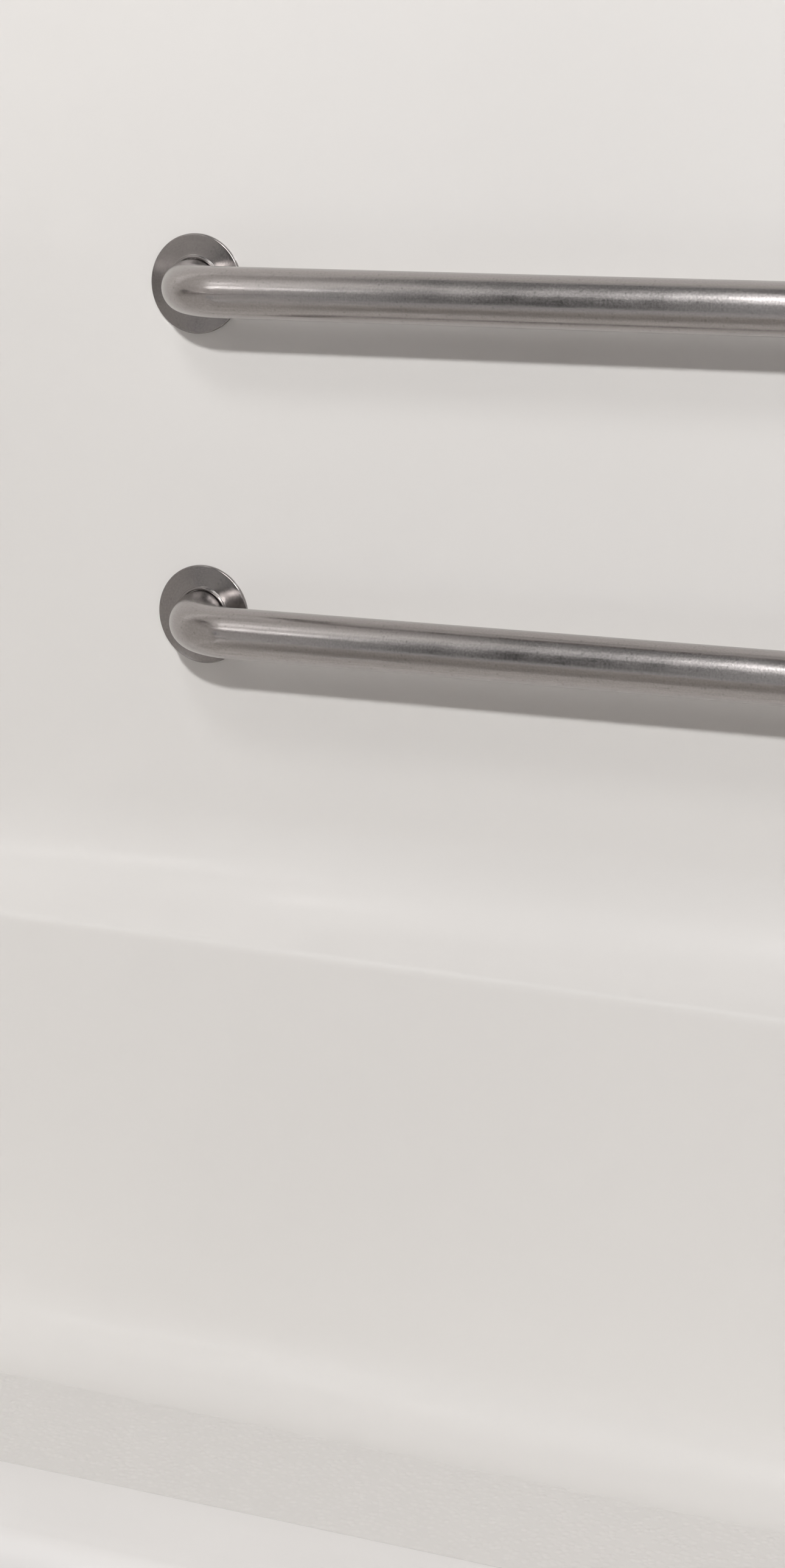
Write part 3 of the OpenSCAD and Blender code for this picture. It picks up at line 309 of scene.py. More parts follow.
def make_raw_laminate():
    """Back of the moulding: greenish resin with chopped strands lying every way, rough and blotchy."""
    f = Finish("raw_laminate", Specular_IOR_Level=0.4)
    strands = []
    for turn in (0.3, 1.3, 2.4):
        turned = node(f.tree, "ShaderNodeMapping", {"Vector": f.here, "Rotation": (turn, turn * 0.6, turn)})
        strands.append(f.grain(16.0, 0.85, Vector=turned.outputs["Vector"], Stretch=(1.0, 14.0, 14.0)))
    mat = f.most(f.most(strands[0], strands[1]), strands[2])
    resin = f.tones(f.grain(5.0, 0.6), (0.40, 0.41, 0.30, 1.0), (0.56, 0.55, 0.42, 1.0))
    f.done(f.tones(f.between(mat, 0.0, 0.45), resin, (0.72, 0.71, 0.60, 1.0)), f.between(mat, 0.38, 0.72),
           f.relief(mat, 0.8, 0.0009))


def make_steel(name, colour, rough, along=None):
    """Satin steel: lengthwise belt marks, fine speckle, darker pits and a cloudy wear of the polish.

    With along None the belt marks follow the piece's UV map, whose U runs in metres along the piece.
    """
    f = Finish(name, None if along else "Length", Metallic=1.0)
    belt = f.grain(6.0, 0.45, Detail=6.0, Stretch=along or (7.0, 150.0, 1.0))
    cloth = f.grain(620.0, 0.55, Detail=2.0)
    fine = f.mix(0.6, belt, cloth)
    hazy = f.mix(0.6, fine, f.grain(60.0, 0.6, Stretch=(0.5, 1.0, 1.0)))
    pits = f.between(f.spots(330.0, 0.42, 0.16), 0.0, 0.5)
    f.done(f.tones(pits, f.tones(fine, shade(colour, 0.80), shade(colour, 1.14)), shade(colour, 0.45)),
           f.between(hazy, rough * 0.70, rough * 1.40),
           f.relief(cloth, 0.16, 0.00005, f.relief(belt, 0.12, 0.00004)))


def make_chrome(colour):
    """Polished chrome: water marks and wiping haze in the roughness, and a hint of orange peel."""
    f = Finish("chrome", Metallic=1.0)
    haze = f.grain(30.0, 0.7)
    water = f.spots(130.0, 0.30, 0.18)
    f.done(f.tones(water, shade(colour, 1.0), shade(colour, 0.86)),
           f.between(f.most(haze, water), 0.05, 0.17), f.relief(haze, 0.05, 0.0001))


def make_brass(colour):
    """Rough brass and copper: dull patches of tarnish with brighter rubbed spots."""
    f = Finish("brass", Metallic=1.0)
    dull = f.grain(24.0, 0.75)
    f.done(f.tones(dull, shade(colour, 1.05), (0.33, 0.21, 0.11, 1.0)), f.between(dull, 0.24, 0.52),
           f.relief(f.spots(260.0, 0.4, 0.25), 0.3, 0.00015))


def make_plywood(colour):
    """Plywood: long figure along X, fine dark pores and a few knots."""
    f = Finish("plywood")
    figure = f.grain(2.4, 0.5, Detail=6.0, Stretch=(1.0, 16.0, 16.0))
    pores = f.grain(9.0, 0.8, Stretch=(4.0, 60.0, 60.0))
    dark = f.most(f.spots(5.0, 0.16, 0.35), f.between(pores, 0.0, 0.35))
    f.done(f.tones(dark, f.tones(figure, shade(colour, 0.84), shade(colour, 1.10)), (0.20, 0.11, 0.05, 1.0)),
           f.between(pores, 0.62, 0.85), f.relief(pores, 0.4, 0.0004))


def make_plain(name, colour, rough, scale, depth):
    """A dull rubber or plastic: a fine moulded grain in tone, roughness and relief."""
    f = Finish(name)
    fine = f.grain(scale, 0.5)
    f.done(f.tones(fine, shade(colour, 0.8), shade(colour, 1.25)),
           f.between(fine, rough * 0.85, rough * 1.15), f.relief(fine, 0.35, depth))


def finishes():
    """Builds every material once and returns them by name."""
    if not LOOKS:
        tones = bpy.context.scene.tub_colours
        PATTERNS.update(grain=build_grain(), spots=build_spots())
        make_gelcoat(tones.gelcoat)
        make_tub_floor(tones.gelcoat)
        make_raw_laminate()
        make_steel("satin_steel", tones.steel, 0.20)
        # The covers' steel is the bars' steel darkened to 0.72 as painted shade.
        make_steel("satin_steel_cover_painted_shade", shade(tones.steel, 0.72)[:3], 0.19)
        make_steel("satin_steel_plate", tones.steel, 0.24, (60.0, 4.0, 60.0))
        make_steel("steel", (0.50, 0.50, 0.49), 0.22, (20.0, 20.0, 20.0))
        make_chrome(tones.chrome)
        make_brass(tones.brass)
        make_plywood(tones.ply)
        make_plain("rubber", (0.035, 0.035, 0.036), 0.7, 600.0, 0.0002)
        make_plain("dark_plastic", (0.07, 0.07, 0.075), 0.45, 900.0, 0.0001)
    return LOOKS


# Mesh helpers

WELD = 0.00002  # points nearer than this are one


def grid_quads(rows, cols, closed=False):
    """Quads of a grid whose points are numbered row by row; closed joins the last column to the first."""
    i, j = np.meshgrid(np.arange(rows - 1), np.arange(cols if closed else cols - 1), indexing="ij")
    k = (j + 1) % cols
    return np.stack([i * cols + j, i * cols + k, (i + 1) * cols + k, (i + 1) * cols + j], -1).reshape(-1, 4)


def points_at(*parts):
    """Points whose coordinates are the given numbers and arrays, stretched to one shape."""
    return np.stack(np.broadcast_arrays(*parts), -1)


def unit(vectors):
    """The vectors scaled to a length of one."""
    return vectors / np.linalg.norm(vectors, axis=-1, keepdims=True)


def mesh_from(name, points, faces):
    """A mesh from an array of points and the faces that join them."""
    made = bpy.data.meshes.new(name)
    made.from_pydata(points.reshape(-1, 3).tolist(), [], faces)
    return made


def put(name, data):
    """A new object of the scene that holds the data."""
    made = bpy.data.objects.new(name, data)
    bpy.context.scene.collection.objects.link(made)
    return made


def placed_at(origin, x_axis, y_axis, z_axis):
    """Matrix that carries the three axes and the origin to the given ones."""
    turned = Matrix(np.column_stack([x_axis, y_axis, z_axis]).tolist()).to_4x4()
    return Matrix.Translation(origin) @ turned


class Patchwork:
    """Patches of points and faces that are welded into one mesh where their edges meet."""

    def __init__(self):
        self.points = []
        self.faces = []
        self.slots = []
        self.count = 0

    def grid(self, points, facing, closed=False, keep=None, slot=0):
        """Adds a rows x cols x 3 grid; facing is the way that its middle face looks."""
        rows, cols = points.shape[:2]
        quads = grid_quads(rows, cols, closed)
        flat = points.reshape(-1, 3)
        corners = flat[quads]
        normals = np.cross(corners[:, 2] - corners[:, 0], corners[:, 3] - corners[:, 1])
        turn = np.sign((normals * facing(corners.mean(1))).sum())
        if keep is not None:
            quads = quads[keep(corners.mean(1))]
        self.add(flat, (quads if turn > 0 else quads[:, ::-1]).tolist(), slot)

    def outline(self, points, facing):
        """Adds one flat face; its normal, the sum of its corners' cross products, is turned to facing."""
        order = list(range(len(points)))
        spokes = points - points.mean(0)
        if np.dot(np.cross(spokes, np.roll(spokes, -1, axis=0)).sum(0), facing) < 0:
            order.reverse()
        self.add(points, [order], 0)

    def add(self, points, faces, slot):
        """Adds points and the faces between them."""
        self.points.append(points)
        self.faces += [[v + self.count for v in f] for f in faces]
        self.slots += [slot] * len(faces)
        self.count += len(points)

    def mesh(self, name):
        """Welds the patches into a mesh."""
        made = mesh_from(name, np.concatenate(self.points), self.faces)
        made.polygons.foreach_set("material_index", self.slots)
        weld(made, WELD, WELD / 4)
        return made


def weld(mesh, distance, sliver=None):
    """Merges the mesh's doubled points and, if asked, edges and faces that are thinner than sliver."""
    work = bmesh.new()
    work.from_mesh(mesh)
    bmesh.ops.remove_doubles(work, verts=work.verts, dist=distance)
    if sliver is not None:
        bmesh.ops.dissolve_degenerate(work, edges=work.edges, dist=sliver)
    work.to_mesh(mesh)
    work.free()


def smooth(mesh, angle):
    """Smooth shading, broken at edges sharper than the angle in degrees."""
    mesh.polygons.foreach_set("use_smooth", [True] * len(mesh.polygons))
    mesh.set_sharp_from_angle(angle=math.radians(angle))
    mesh.update()


def piece(name, mesh, body, materials, nodes):
    """Puts a mesh in the scene as a piece that rides on a body and stands for some nodes."""
    made = put(name, mesh)
    for material in materials:
        mesh.materials.append(material)
    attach(made, body)
    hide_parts(*nodes)
    return made


def ring_mesh(name, points, turned=False):
    """Mesh from rings of points, with flat ends unless it is a turned piece.

    Its UV map is in metres: U adds up the steps of the rings' middles and their changes of radius, and V is
    the way round at the mean radius. A turned piece has the two swapped.
    """
    rows, cols = points.shape[:2]
    middle = points.mean(1)
    reach = np.linalg.norm(points - middle[:, None], axis=2)
    step = np.linalg.norm(np.diff(middle, axis=0), axis=1) + np.abs(np.diff(reach.mean(1)))
    along = np.concatenate([[0], np.cumsum(step)])
    i, j = np.meshgrid(np.arange(rows - 1), np.arange(cols), indexing="ij")
    row = np.stack([i, i, i + 1, i + 1], -1).reshape(-1)
    col = np.stack([j, j + 1, j + 1, j], -1).reshape(-1)
    uv = np.stack([along[row], reach.mean() * 2 * np.pi * col / cols], -1)
    faces = grid_quads(rows, cols, True).tolist()
    if turned:
        uv = uv[:, ::-1]
    else:
        faces += [list(range(cols))[::-1], [(rows - 1) * cols + c for c in range(cols)]]
        uv = np.concatenate([uv, np.zeros((2 * cols, 2))])
    made = mesh_from(name, points, faces)
    made.uv_layers.new(name="Length").data.foreach_set("uv", np.float32(uv).reshape(-1))
    return made


def sweep(name, line, way, radius, steps=96):
    """Round tube along a line in the XZ plane: a point is centre + radius (n cos a + Y sin a).

    line and way are the (x, z) pairs of the centres and their tangents, and n is Y crossed with the tangent.
    """
    centres, tangents = (points_at(pairs[:, 0], 0.0, pairs[:, 1]) for pairs in (line, way))
    across = np.array([0.0, 1.0, 0.0])
    n = unit(np.cross(across, tangents))
    a = np.linspace(0, 2 * np.pi, steps, endpoint=False)[None, :, None]
    return ring_mesh(name, centres[:, None] + (n[:, None] * np.cos(a) + across * np.sin(a)) * radius)


def revolve(name, profile, x, steps=128):
    """Turned mesh about the Z direction through (x, 0, 0): a point is (x + r cos a, r sin a, height)."""
    r, height = profile.T[..., None]
    a = np.linspace(0, 2 * np.pi, steps, endpoint=False)
    return ring_mesh(name, points_at(x + r * np.cos(a), r * np.sin(a), height), True)


def rounded(points, radius):
    """The profile with its inner corners cut by quadratic curves that start radius away from each corner."""
    points = np.asarray(points, float)
    made = [points[:1]]
    t = np.linspace(0, 1, 6)[:, None]
    for before, here, after in zip(points[:-2], points[1:-1], points[2:]):
        back, on = before - here, after - here
        start = here + back * min(0.48, radius / np.linalg.norm(back))
        stop = here + on * min(0.48, radius / np.linalg.norm(on))
        made.append((1 - t) ** 2 * start + 2 * t * (1 - t) * here + t ** 2 * stop)
    made.append(points[-1:])
    return np.concatenate(made)


def join_meshes(name, meshes):
    """One mesh that holds all the given meshes with their UV maps."""
    work = bmesh.new()
    for each in meshes:
        work.from_mesh(each)
    made = bpy.data.meshes.new(name)
    work.to_mesh(made)
    work.free()
    for each in meshes:
        bpy.data.meshes.remove(each)
    return made


# The moulded shell

SEAM = 0.0015  # flat strip between a roll and the surface that it ends
SEAT_FOOT = 0.006  # radius of the small cove at the foot of the seat's riser
HEAD_CORNER = 0.060  # radius of the tub's corners at the head end
CORNER_SWELL = 0.060  # growth of the tub's corner radii from the rim to the floor
LEDGE_LAND = 0.008  # depth of the tub's edge roll below the rim
RISER_REACH = 0.060  # stretch of the back wall before the riser that has finer columns
FLANGE_INSET = 0.005  # the nailing flange's face behind the moulding's outside
RIM = 8  # columns of the control wall in front of the tub's opening
FILLET = 48  # columns of the back wall from its corner to the finer stretch
DRAIN_RING = 0.0405  # radius of the last ring of the floor before the drain's hole
DRAIN_HOLE = 0.026
VALVE_HOLE = (-0.72, -0.15, 0.72, 0.050)  # its side of x, then its y, z and radius
OVERFLOW_HOLE = (-0.66, 0.0, 0.312, 0.025)
WALL_MIDDLE = np.array([0.0, 0.0, 0.9])
TUB_MIDDLE = np.array([-0.17, 0.0, 0.45])


def front_line(s):
    """Where the flat surfaces end and the front edge's roll starts."""
    return -s.half_dep + s.rim_round + SEAM


def cove_section(depth, height, steps):
    """Arc that leaves the wall upright at a height and reaches out to a depth at the bottom.

    Its radius is (depth^2 + height^2) / (2 depth); u is the distance from the wall and v the height.
    """
    depth = np.atleast_1d(depth)[:, None]
    radius = (depth ** 2 + height ** 2) / (2 * depth)
    a = np.pi + np.arccos((radius - depth) / radius) * np.linspace(0, 1, steps + 1)[None]
    return radius + radius * np.cos(a), height + radius * np.sin(a)


def seat_profile(s, foot):
    """The riser from the deck to the seat, as x offsets and rises: a foot cove, the face and a roll.

    foot is the foot cove's reach, one value a column.
    """
    t = np.linspace(0, np.pi / 2, 5)[:, None]
    q = np.linspace(0, np.pi / 2, 9)[:, None]
    rise = s.seat_h - s.rim_h
    r = s.seat_round
    x = np.concatenate([-foot * (1 - np.sin(t)), r * (1 - np.cos(q)) + 0 * foot, [r + SEAM + 0 * foot]])
    z = np.concatenate([SEAT_FOOT * (1 - np.cos(t)), rise - r + r * np.sin(q), [[rise]]])
    return x, z[:, 0]


def wall_surface(s):
    """The three walls with the coves at their foot, as rows from the wall's top down to the edge line.

    Each column stands at a point of the wall's line with its inward direction; its section is upright to the
    cove, then the tub's cove, the seat's cove or, across the riser, a share of both. The columns of a
    stretch are x, y, the inward direction, the seat cove's share and the share of the front roll's growth.
    """
    front = front_line(s)
    bend = s.wall_y - s.corner
    left = -s.wall_x + s.corner
    tub_front = s.front_y + s.corner - s.ledge_control
    control = np.concatenate([np.linspace(front, tub_front, RIM + 1)[:-1], np.linspace(tub_front, bend, 57)])
    turn = np.linspace(np.pi, np.pi / 2, 17)[1:]
    fine = s.seat_x - RISER_REACH
    back = np.concatenate([np.linspace(left, fine, FILLET + 1)[1:],
                           np.linspace(fine, s.seat_x - SEAT_FOOT, 5)[1:-1]])
    off, rise = seat_profile(s, np.array([SEAT_FOOT]))
    step = s.seat_x + off[:, 0]
    seat = np.linspace(step[-1], s.wall_x - s.corner, 13)[1:]
    turn2 = np.linspace(np.pi / 2, 0, 17)[1:]
    head = np.linspace(bend, front, 41)[1:]
    (cos1, sin1), (cos2, sin2) = ((np.cos(angles), np.sin(angles)) for angles in (turn, turn2))
    stretches = [
        points_at(-s.wall_x, control, 1, 0, 0, 1 - (control - front) / (bend - front)),
        points_at(left + s.corner * cos1, bend + s.corner * sin1, -cos1, -sin1, 0, 0),
        points_at(back, s.wall_y, 0, -1, 0, 0),
        points_at(step, s.wall_y, 0, -1, rise / (s.seat_h - s.rim_h), 0),
        points_at(seat, s.wall_y, 0, -1, 1, 0),
        points_at(-left + s.corner * cos2, bend + s.corner * sin2, -cos2, -sin2, 1, 0),
        points_at(s.wall_x, head, -1, 0, 1, (bend - head) / (bend - front))]
    x, y, nx, ny, share, slide = np.concatenate(stretches).T
    starts = np.cumsum([0] + [len(each) for each in stretches])
    along = np.clip((x - left) / (s.seat_x - left), 0, 1)
    steps = 16
    tub_u, tub_v = cove_section(s.ledge_control + (s.ledge_seat - s.ledge_control) * along, s.cove_h, steps)
    seat_cove = s.rim_h + s.cove_h - s.seat_h
    seat_u, seat_v = cove_section(seat_cove, seat_cove, steps)
    w = share[:, None]
    u = (1 - w) * tub_u + w * seat_u
    z = (1 - w) * (s.rim_h + tub_v) + w * (s.seat_h + seat_v)
    tall = np.linspace(s.wall_top, s.rim_h + s.cove_h, 61)[:-1]
    u = np.concatenate([np.zeros((len(tall), len(x))), u.T])
    z = np.concatenate([np.repeat(tall[:, None], len(x), 1), z.T])
    radius = np.concatenate([np.full(len(tall), s.column),
                             s.column + (s.rim_round - s.column) * np.linspace(0, 1, steps + 1)])
    shift = (radius - s.rim_round)[:, None] * slide
    points = points_at(x + nx * u, y + ny * u + shift, z)
    marks = {"rim": RIM, "fillet": starts[2] - 1 + FILLET, "step": starts[3], "seat": starts[4] - 1}
    return points, radius, marks


def tub_columns():
    """Columns round the tub's opening, clockwise from its control end's front corner.

    Corner 0 is head back, 1 control back, 2 control front and 3 head front. A stretch has its two corners,
    its number of columns and its first and last angle; on a side the share runs between the corners.
    """
    side, cut = np.pi / 2, math.acos(0.9)
    near, far, counts, first, last = zip(
        (2, 1, 56, np.pi, np.pi), (1, 1, 16, np.pi, side), (1, 0, 48, side, side), (0, 0, 10, side, cut),
        (0, 0, 5, cut, 0.0), (0, 3, 30, 0.0, 0.0), (3, 3, 5, 0.0, -cut), (3, 3, 10, -cut, -side),
        (3, 2, 56, -side, -side), (2, 2, 12, -side, -np.pi))
    share, angle = (np.concatenate([np.linspace(a, b, n + 1)[:-1] for a, b, n in zip(low, high, counts)])
                    for low, high in ((np.zeros(10), np.not_equal(near, far)), (first, last)))
    return np.repeat(near, counts), np.repeat(far, counts), share, angle, np.cumsum([0, *counts])


def wall_inset(height, lean, top, foot, cove, start):
    """Distance of a leaning wall from its edge line at each height, down to a cove tangent to the floor.

    The line leaves start at the top and has moved in by lean at the foot; below their meeting point the
    cove's circle of radius cove takes over.
    """
    slope = lean / (top - foot)
    tilt = math.atan(slope)
    line = start + (top - height) * slope
    centre = start + lean + cove / math.cos(tilt)
    circle = centre - np.sqrt(np.maximum(0, cove ** 2 - (height - foot) ** 2))
    return np.where(height < foot - cove * math.sin(tilt), circle, line)


def tub_surface(s):
    """The tub's inside as rows from its edge line down to the edge of its floor, then in to the drain.

    A row is a rounded outline moved in by the leans, with its back side turned to follow the ledge's taper.
    """
    near, far, share, angle, starts = tub_columns()
    top = s.rim_h - s.lip
    foot = s.floor_h + s.floor_cove
    t = np.linspace(0, 1, 7)[:-1]
    low = np.linspace(s.rim_h - LEDGE_LAND, foot, 23)
    phi = np.linspace(0, np.pi / 2, 15)[1:]
    height = np.concatenate([s.rim_h - LEDGE_LAND * t ** 2, low, foot - s.floor_cove * np.sin(phi)])
    side = wall_inset(height, s.side_lean, top, foot, s.floor_cove, s.lip)
    end = wall_inset(height, 1e-6, top, foot, s.floor_cove, s.lip)
    head = wall_inset(height, s.head_lean, s.rim_h, foot, s.floor_cove, 0.0)
    side[:6] = 2 * t * (1 - t) * s.lip + t ** 2 * side[6]
    end[:6] = 2 * t * (1 - t) * s.lip + t ** 2 * end[6]
    swell = np.clip((top - height) / (top - foot), 0, 1)
    x0 = -s.wall_x + s.ledge_control + end
    x1 = s.seat_x - head
    y0 = s.front_y + side
    y1 = s.wall_y - s.ledge_control - side
    rc = s.corner - s.ledge_control - end + swell * CORNER_SWELL
    rh = HEAD_CORNER - end + swell * CORNER_SWELL
    cx = np.stack([x1 - rh, x0 + rc, x0 + rc, x1 - rh], 1)
    cy = np.stack([y1 - rh, y1 - rc, y0 + rc, y0 + rh], 1)
    radius = np.stack([rh, rc, rc, rh], 1)
    x, y = ((1 - share) * (c[:, near] + radius[:, near] * wave) + share * (c[:, far] + radius[:, far] * wave)
            for c, wave in ((cx, np.cos(angle)), (cy, np.sin(angle))))
    left = -s.wall_x + s.corner
    span = s.wall_y - s.ledge_control - s.front_y
    turn = np.maximum(0, x - left) * (s.ledge_seat - s.ledge_control) / (s.seat_x - left) / span
    y = s.front_y + (y - s.front_y) * (1 - turn)
    steep = edge_slope(s, np.interp(x[0], [left, s.seat_x], [s.ledge_control, s.ledge_seat]))
    blend = np.ones(len(near))
    blend[starts[3]:starts[5]] = np.linspace(1, 0, starts[5] - starts[3])
    blend[starts[5]:starts[9]] = 0
    blend[starts[9]:] = np.linspace(0, 1, starts[10] - starts[9])
    curl = np.zeros((len(height), 1))
    curl[:6, 0] = -2 * t * (1 - t) * s.lip
    z = height[:, None] + curl * (steep * blend)[None] + swell[:, None] * s.fall * (x - s.drain_x)
    rings = points_at(x, y, z)
    edge = rings[-1]
    way = np.arctan2(edge[:, 1], edge[:, 0] - s.drain_x)
    far_in = np.linspace(0, 1, 19)[1:, None]
    floor_x = edge[:, 0] * (1 - far_in) + (s.drain_x + DRAIN_RING * np.cos(way)) * far_in
    floor_y = edge[:, 1] * (1 - far_in) + (DRAIN_RING * np.sin(way)) * far_in
    floor_x = np.concatenate([floor_x, [s.drain_x + DRAIN_HOLE * np.cos(way)]])
    floor_y = np.concatenate([floor_y, [DRAIN_HOLE * np.sin(way)]])
    floor_z = s.floor_h + s.fall * (floor_x - s.drain_x)
    return rings, points_at(floor_x, floor_y, floor_z), starts


def edge_slope(s, depth):
    """Slope of the cove's lower end, as fall for each unit outwards."""
    radius = (depth ** 2 + s.cove_h ** 2) / (2 * depth)
    return 1 / np.tan(np.arccos((radius - depth) / radius))


def riser_surface(s, rings, starts, wall, marks):
    """The riser between the tub and the seat: its profile carried from the front rim to the back cove."""
    inner = rings[0, starts[4]:starts[7] + 1][::-1]
    y_front = np.linspace(front_line(s), inner[0, 1], 8)[:-1]
    foot = np.concatenate([np.full(7, SEAT_FOOT), s.seat_x - inner[:, 0], np.full(6, SEAT_FOOT)])
    off, rise = seat_profile(s, foot)
    step = wall[-1, marks["step"]:marks["seat"] + 1]
    t = np.linspace(0, 1, 7)[1:]
    y_back = inner[-1, 1] + (step[:, 1][:, None] - inner[-1, 1]) * t
    y = np.concatenate([np.repeat(np.concatenate([y_front, inner[:, 1]])[None], len(rise), 0), y_back], 1)
    return points_at(s.seat_x + off, y, s.rim_h + rise[:, None]), len(y_front)


def front_roll(s, wall, radius, riser):
    """The rounded front edge of the whole moulding.

    The front view's outline runs down the control wall, along the rim, over the seat and up the head wall.
    At each point a quarter circle turns from the surface to the front plane, against the outline's normal.
    """
    front = front_line(s)
    deck = np.linspace(-s.wall_x + s.ledge_control, s.seat_x - SEAT_FOOT, 25)[1:-1]
    seat = np.linspace(riser[-1, 0, 0], wall[-1, -1, 0], 9)[1:-1]
    line = np.concatenate([wall[:, 0][:, [0, 2]], points_at(deck, s.rim_h), riser[:, 0][:, [0, 2]],
                           points_at(seat, s.seat_h), wall[::-1, -1][:, [0, 2]]])
    r = np.concatenate([radius, np.full(len(deck) + len(riser) + len(seat), s.rim_round), radius[::-1]])
    step = unit(np.diff(line, axis=0))
    way = unit(np.concatenate([step[:1], step[:-1] + step[1:], step[-1:]]))
    normal = np.stack([-way[:, 1], way[:, 0]], 1)
    q = np.linspace(0, np.pi / 2, 9)[:, None]
    sink = np.concatenate([[0 * r], r * (1 - np.cos(q)), [r + SEAM]])
    y = -s.half_dep + np.concatenate([[r + SEAM], r * (1 - np.sin(q)), [0 * r]])
    moved = line[None] - sink[..., None] * normal[None]
    points = points_at(moved[..., 0], y, moved[..., 1])
    return points, points_at(deck, front, s.rim_h), points_at(seat, front, s.seat_h)


def round_hole(hole):
    """Test that keeps the faces clear of a round hole through the control wall."""
    side, y, z, radius = hole
    return lambda p: ~((p[:, 0] < side) & (np.hypot(p[:, 1] - y, p[:, 2] - z) < radius))


def build_shell(s):
    """Patches of the moulding, all looking at the room, the open side or the sky."""
    wall, radius, marks = wall_surface(s)
    rings, floor, starts = tub_surface(s)
    riser, front_cols = riser_surface(s, rings, starts, wall, marks)
    roll, rim, seat_line = front_roll(s, wall, radius, riser)
    made = Patchwork()
    made.grid(wall, lambda p: WALL_MIDDLE - p, keep=round_hole(VALVE_HOLE))
    made.grid(rings, lambda p: TUB_MIDDLE - p, closed=True, keep=round_hole(OVERFLOW_HOLE))
    made.grid(np.concatenate([rings[-1:], floor]), lambda p: UP + 0 * p, closed=True, slot=1)
    made.grid(riser, lambda p: np.array([-1.0, 0.0, 1.0]) + 0 * p)
    made.grid(roll, lambda p: OPEN_SIDE + 0 * p)
    edge, foot = rings[0], wall[-1]
    step, seat = marks["step"], marks["seat"]
    made.outline(np.concatenate([foot[marks["rim"]::-1], rim, riser[0, :front_cols + 1],
                                 edge[starts[7] + 1:]]), UP)
    made.outline(np.concatenate([edge[starts[3]:starts[4] + 1], riser[0, -6:],
                                 foot[step - 1:marks["fillet"]:-1]]), UP)
    made.outline(np.concatenate([riser[-1], foot[seat + 1:], seat_line[::-1]]), UP)
    top = s.wall_top
    h, d = s.half_len, -s.half_dep
    made.outline(np.concatenate([roll[-1], [[h, d, top], [h, d, 0], [-h, d, 0], [-h, d, top]]]), OPEN_SIDE)
    x, y = s.half_len - FLANGE_INSET, s.half_dep - FLANGE_INSET
    start = wall[0, 0, 1]
    flange = points_at([x, x, -x, -x], [start, y, y, start], [[top], [s.flange_top]])
    made.outline(np.concatenate([wall[0], roll[1:, -1], [[h, d, top]], flange[0], [[-h, d, top]],
                                 roll[:0:-1, 0]]), UP)
    made.grid(flange, lambda p: WALL_MIDDLE - p)
    return made.mesh("tub_shell")


class TUB_OT_shell(bpy.types.Operator):
    """Build the one-piece moulding: walls, coves, ledge, tub, rim, seat and apron."""

    bl_idname = "tub.shell"
    bl_label = "Moulded shell"

    def execute(self, context):
        s = context.scene.tub_shell
        looks = finishes()
        mesh = build_shell(s)
        smooth(mesh, 32.0)
        faces = [looks[name] for name in ("gelcoat", "gelcoat_floor", "raw_laminate", "raw_laminate")]
        made = piece("tub_shell", mesh, "module", faces, ["moulded_shell"])
        wall = made.modifiers.new("Laminate", "SOLIDIFY")
        wall.thickness = s.laminate
        wall.offset = -1.0
        wall.thickness_clamp = 1.0
        wall.material_offset = 2
        wall.material_offset_rim = 2
        return {"FINISHED"}


# Grab bars

COVER_GAP = 0.0026  # from the tube to the cover's lip
RIM_ROLL = 0.0014  # width of the roll at the cover's rim
RIM_STEP = 0.0005  # height of that roll over the plate


def bar_path(b, length):
    """Centreline of a bent bar in its own frame: X along the bar, Z out of the wall, with its tangents."""
    low = np.linspace(b.plate, b.stand_off - b.bend, 3)[:-1]
    q = np.linspace(0, np.pi / 2, 29)
    bend = points_at(b.bend * (1 - np.cos(q)), b.stand_off - b.bend + b.bend * np.sin(q))
    run = points_at(np.linspace(b.bend, length - b.bend, 31)[1:-1], b.stand_off)
    half = np.concatenate([points_at(0.0, low), bend])
    other = half[::-1] * [-1, 1] + [length, 0]
    line = np.concatenate([half, run, other])
    way = unit(np.gradient(line, axis=0))
    way[0] = way[1] = [0, 1]
    way[-1] = way[-2] = [0, -1]
    return line, way


def cover_profile(b):
    """Snap cover, from its foot over the rolled rim and the shallow cone to the lip's roll at the tube."""
    r, h, lip = b.cover, b.cover_h, b.tube + COVER_GAP
    crown = (r - RIM_ROLL, b.plate + RIM_STEP)
    neck = (lip + 0.0012, h - 0.00115)
    t = np.linspace(0, 1, 7)[:, None]
    rim = rounded([(r, 0.0), (r, b.plate - 0.0002), (r - 0.0005, b.plate + 0.0004), crown], 0.0007)
    cone = np.array([crown]) * (1 - t) + np.array([neck]) * t
    end = rounded([neck, (lip + 0.0001, h - 0.0010), (lip - 0.0001, h - 0.0002), (lip - 0.0006, h),
                   (lip - 0.0015, h), (lip - 0.0021, h - 0.0003), (lip - 0.0022, h - 0.0030)], 0.0006)
    return np.concatenate([rim[:-1], cone, end[1:]])


def build_bar(context, name, origin, x_axis, z_axis, length):
    """One bar: the bent tube and its two snap covers, moved from the bar's own frame to the wall."""
    b = context.scene.tub_bars
    looks = finishes()
    line, way = bar_path(b, length)
    covers = [revolve(name, cover_profile(b), x) for x in (0.0, length)]
    # The covers take the bars' steel darkened as painted shade.
    for part, mesh, finish in (("tube", sweep(name + "_tube_shape", line, way, b.tube), "satin_steel"),
                               ("covers", join_meshes(name + "_covers_shape", covers), "satin_steel_cover_painted_shade")):
        mesh.transform(placed_at(origin, x_axis, np.cross(z_axis, x_axis), z_axis))
        smooth(mesh, 40.0)
        piece(f"{name}_{part}_shape", mesh, "module", [looks[finish]], [f"{name}_{part}"])


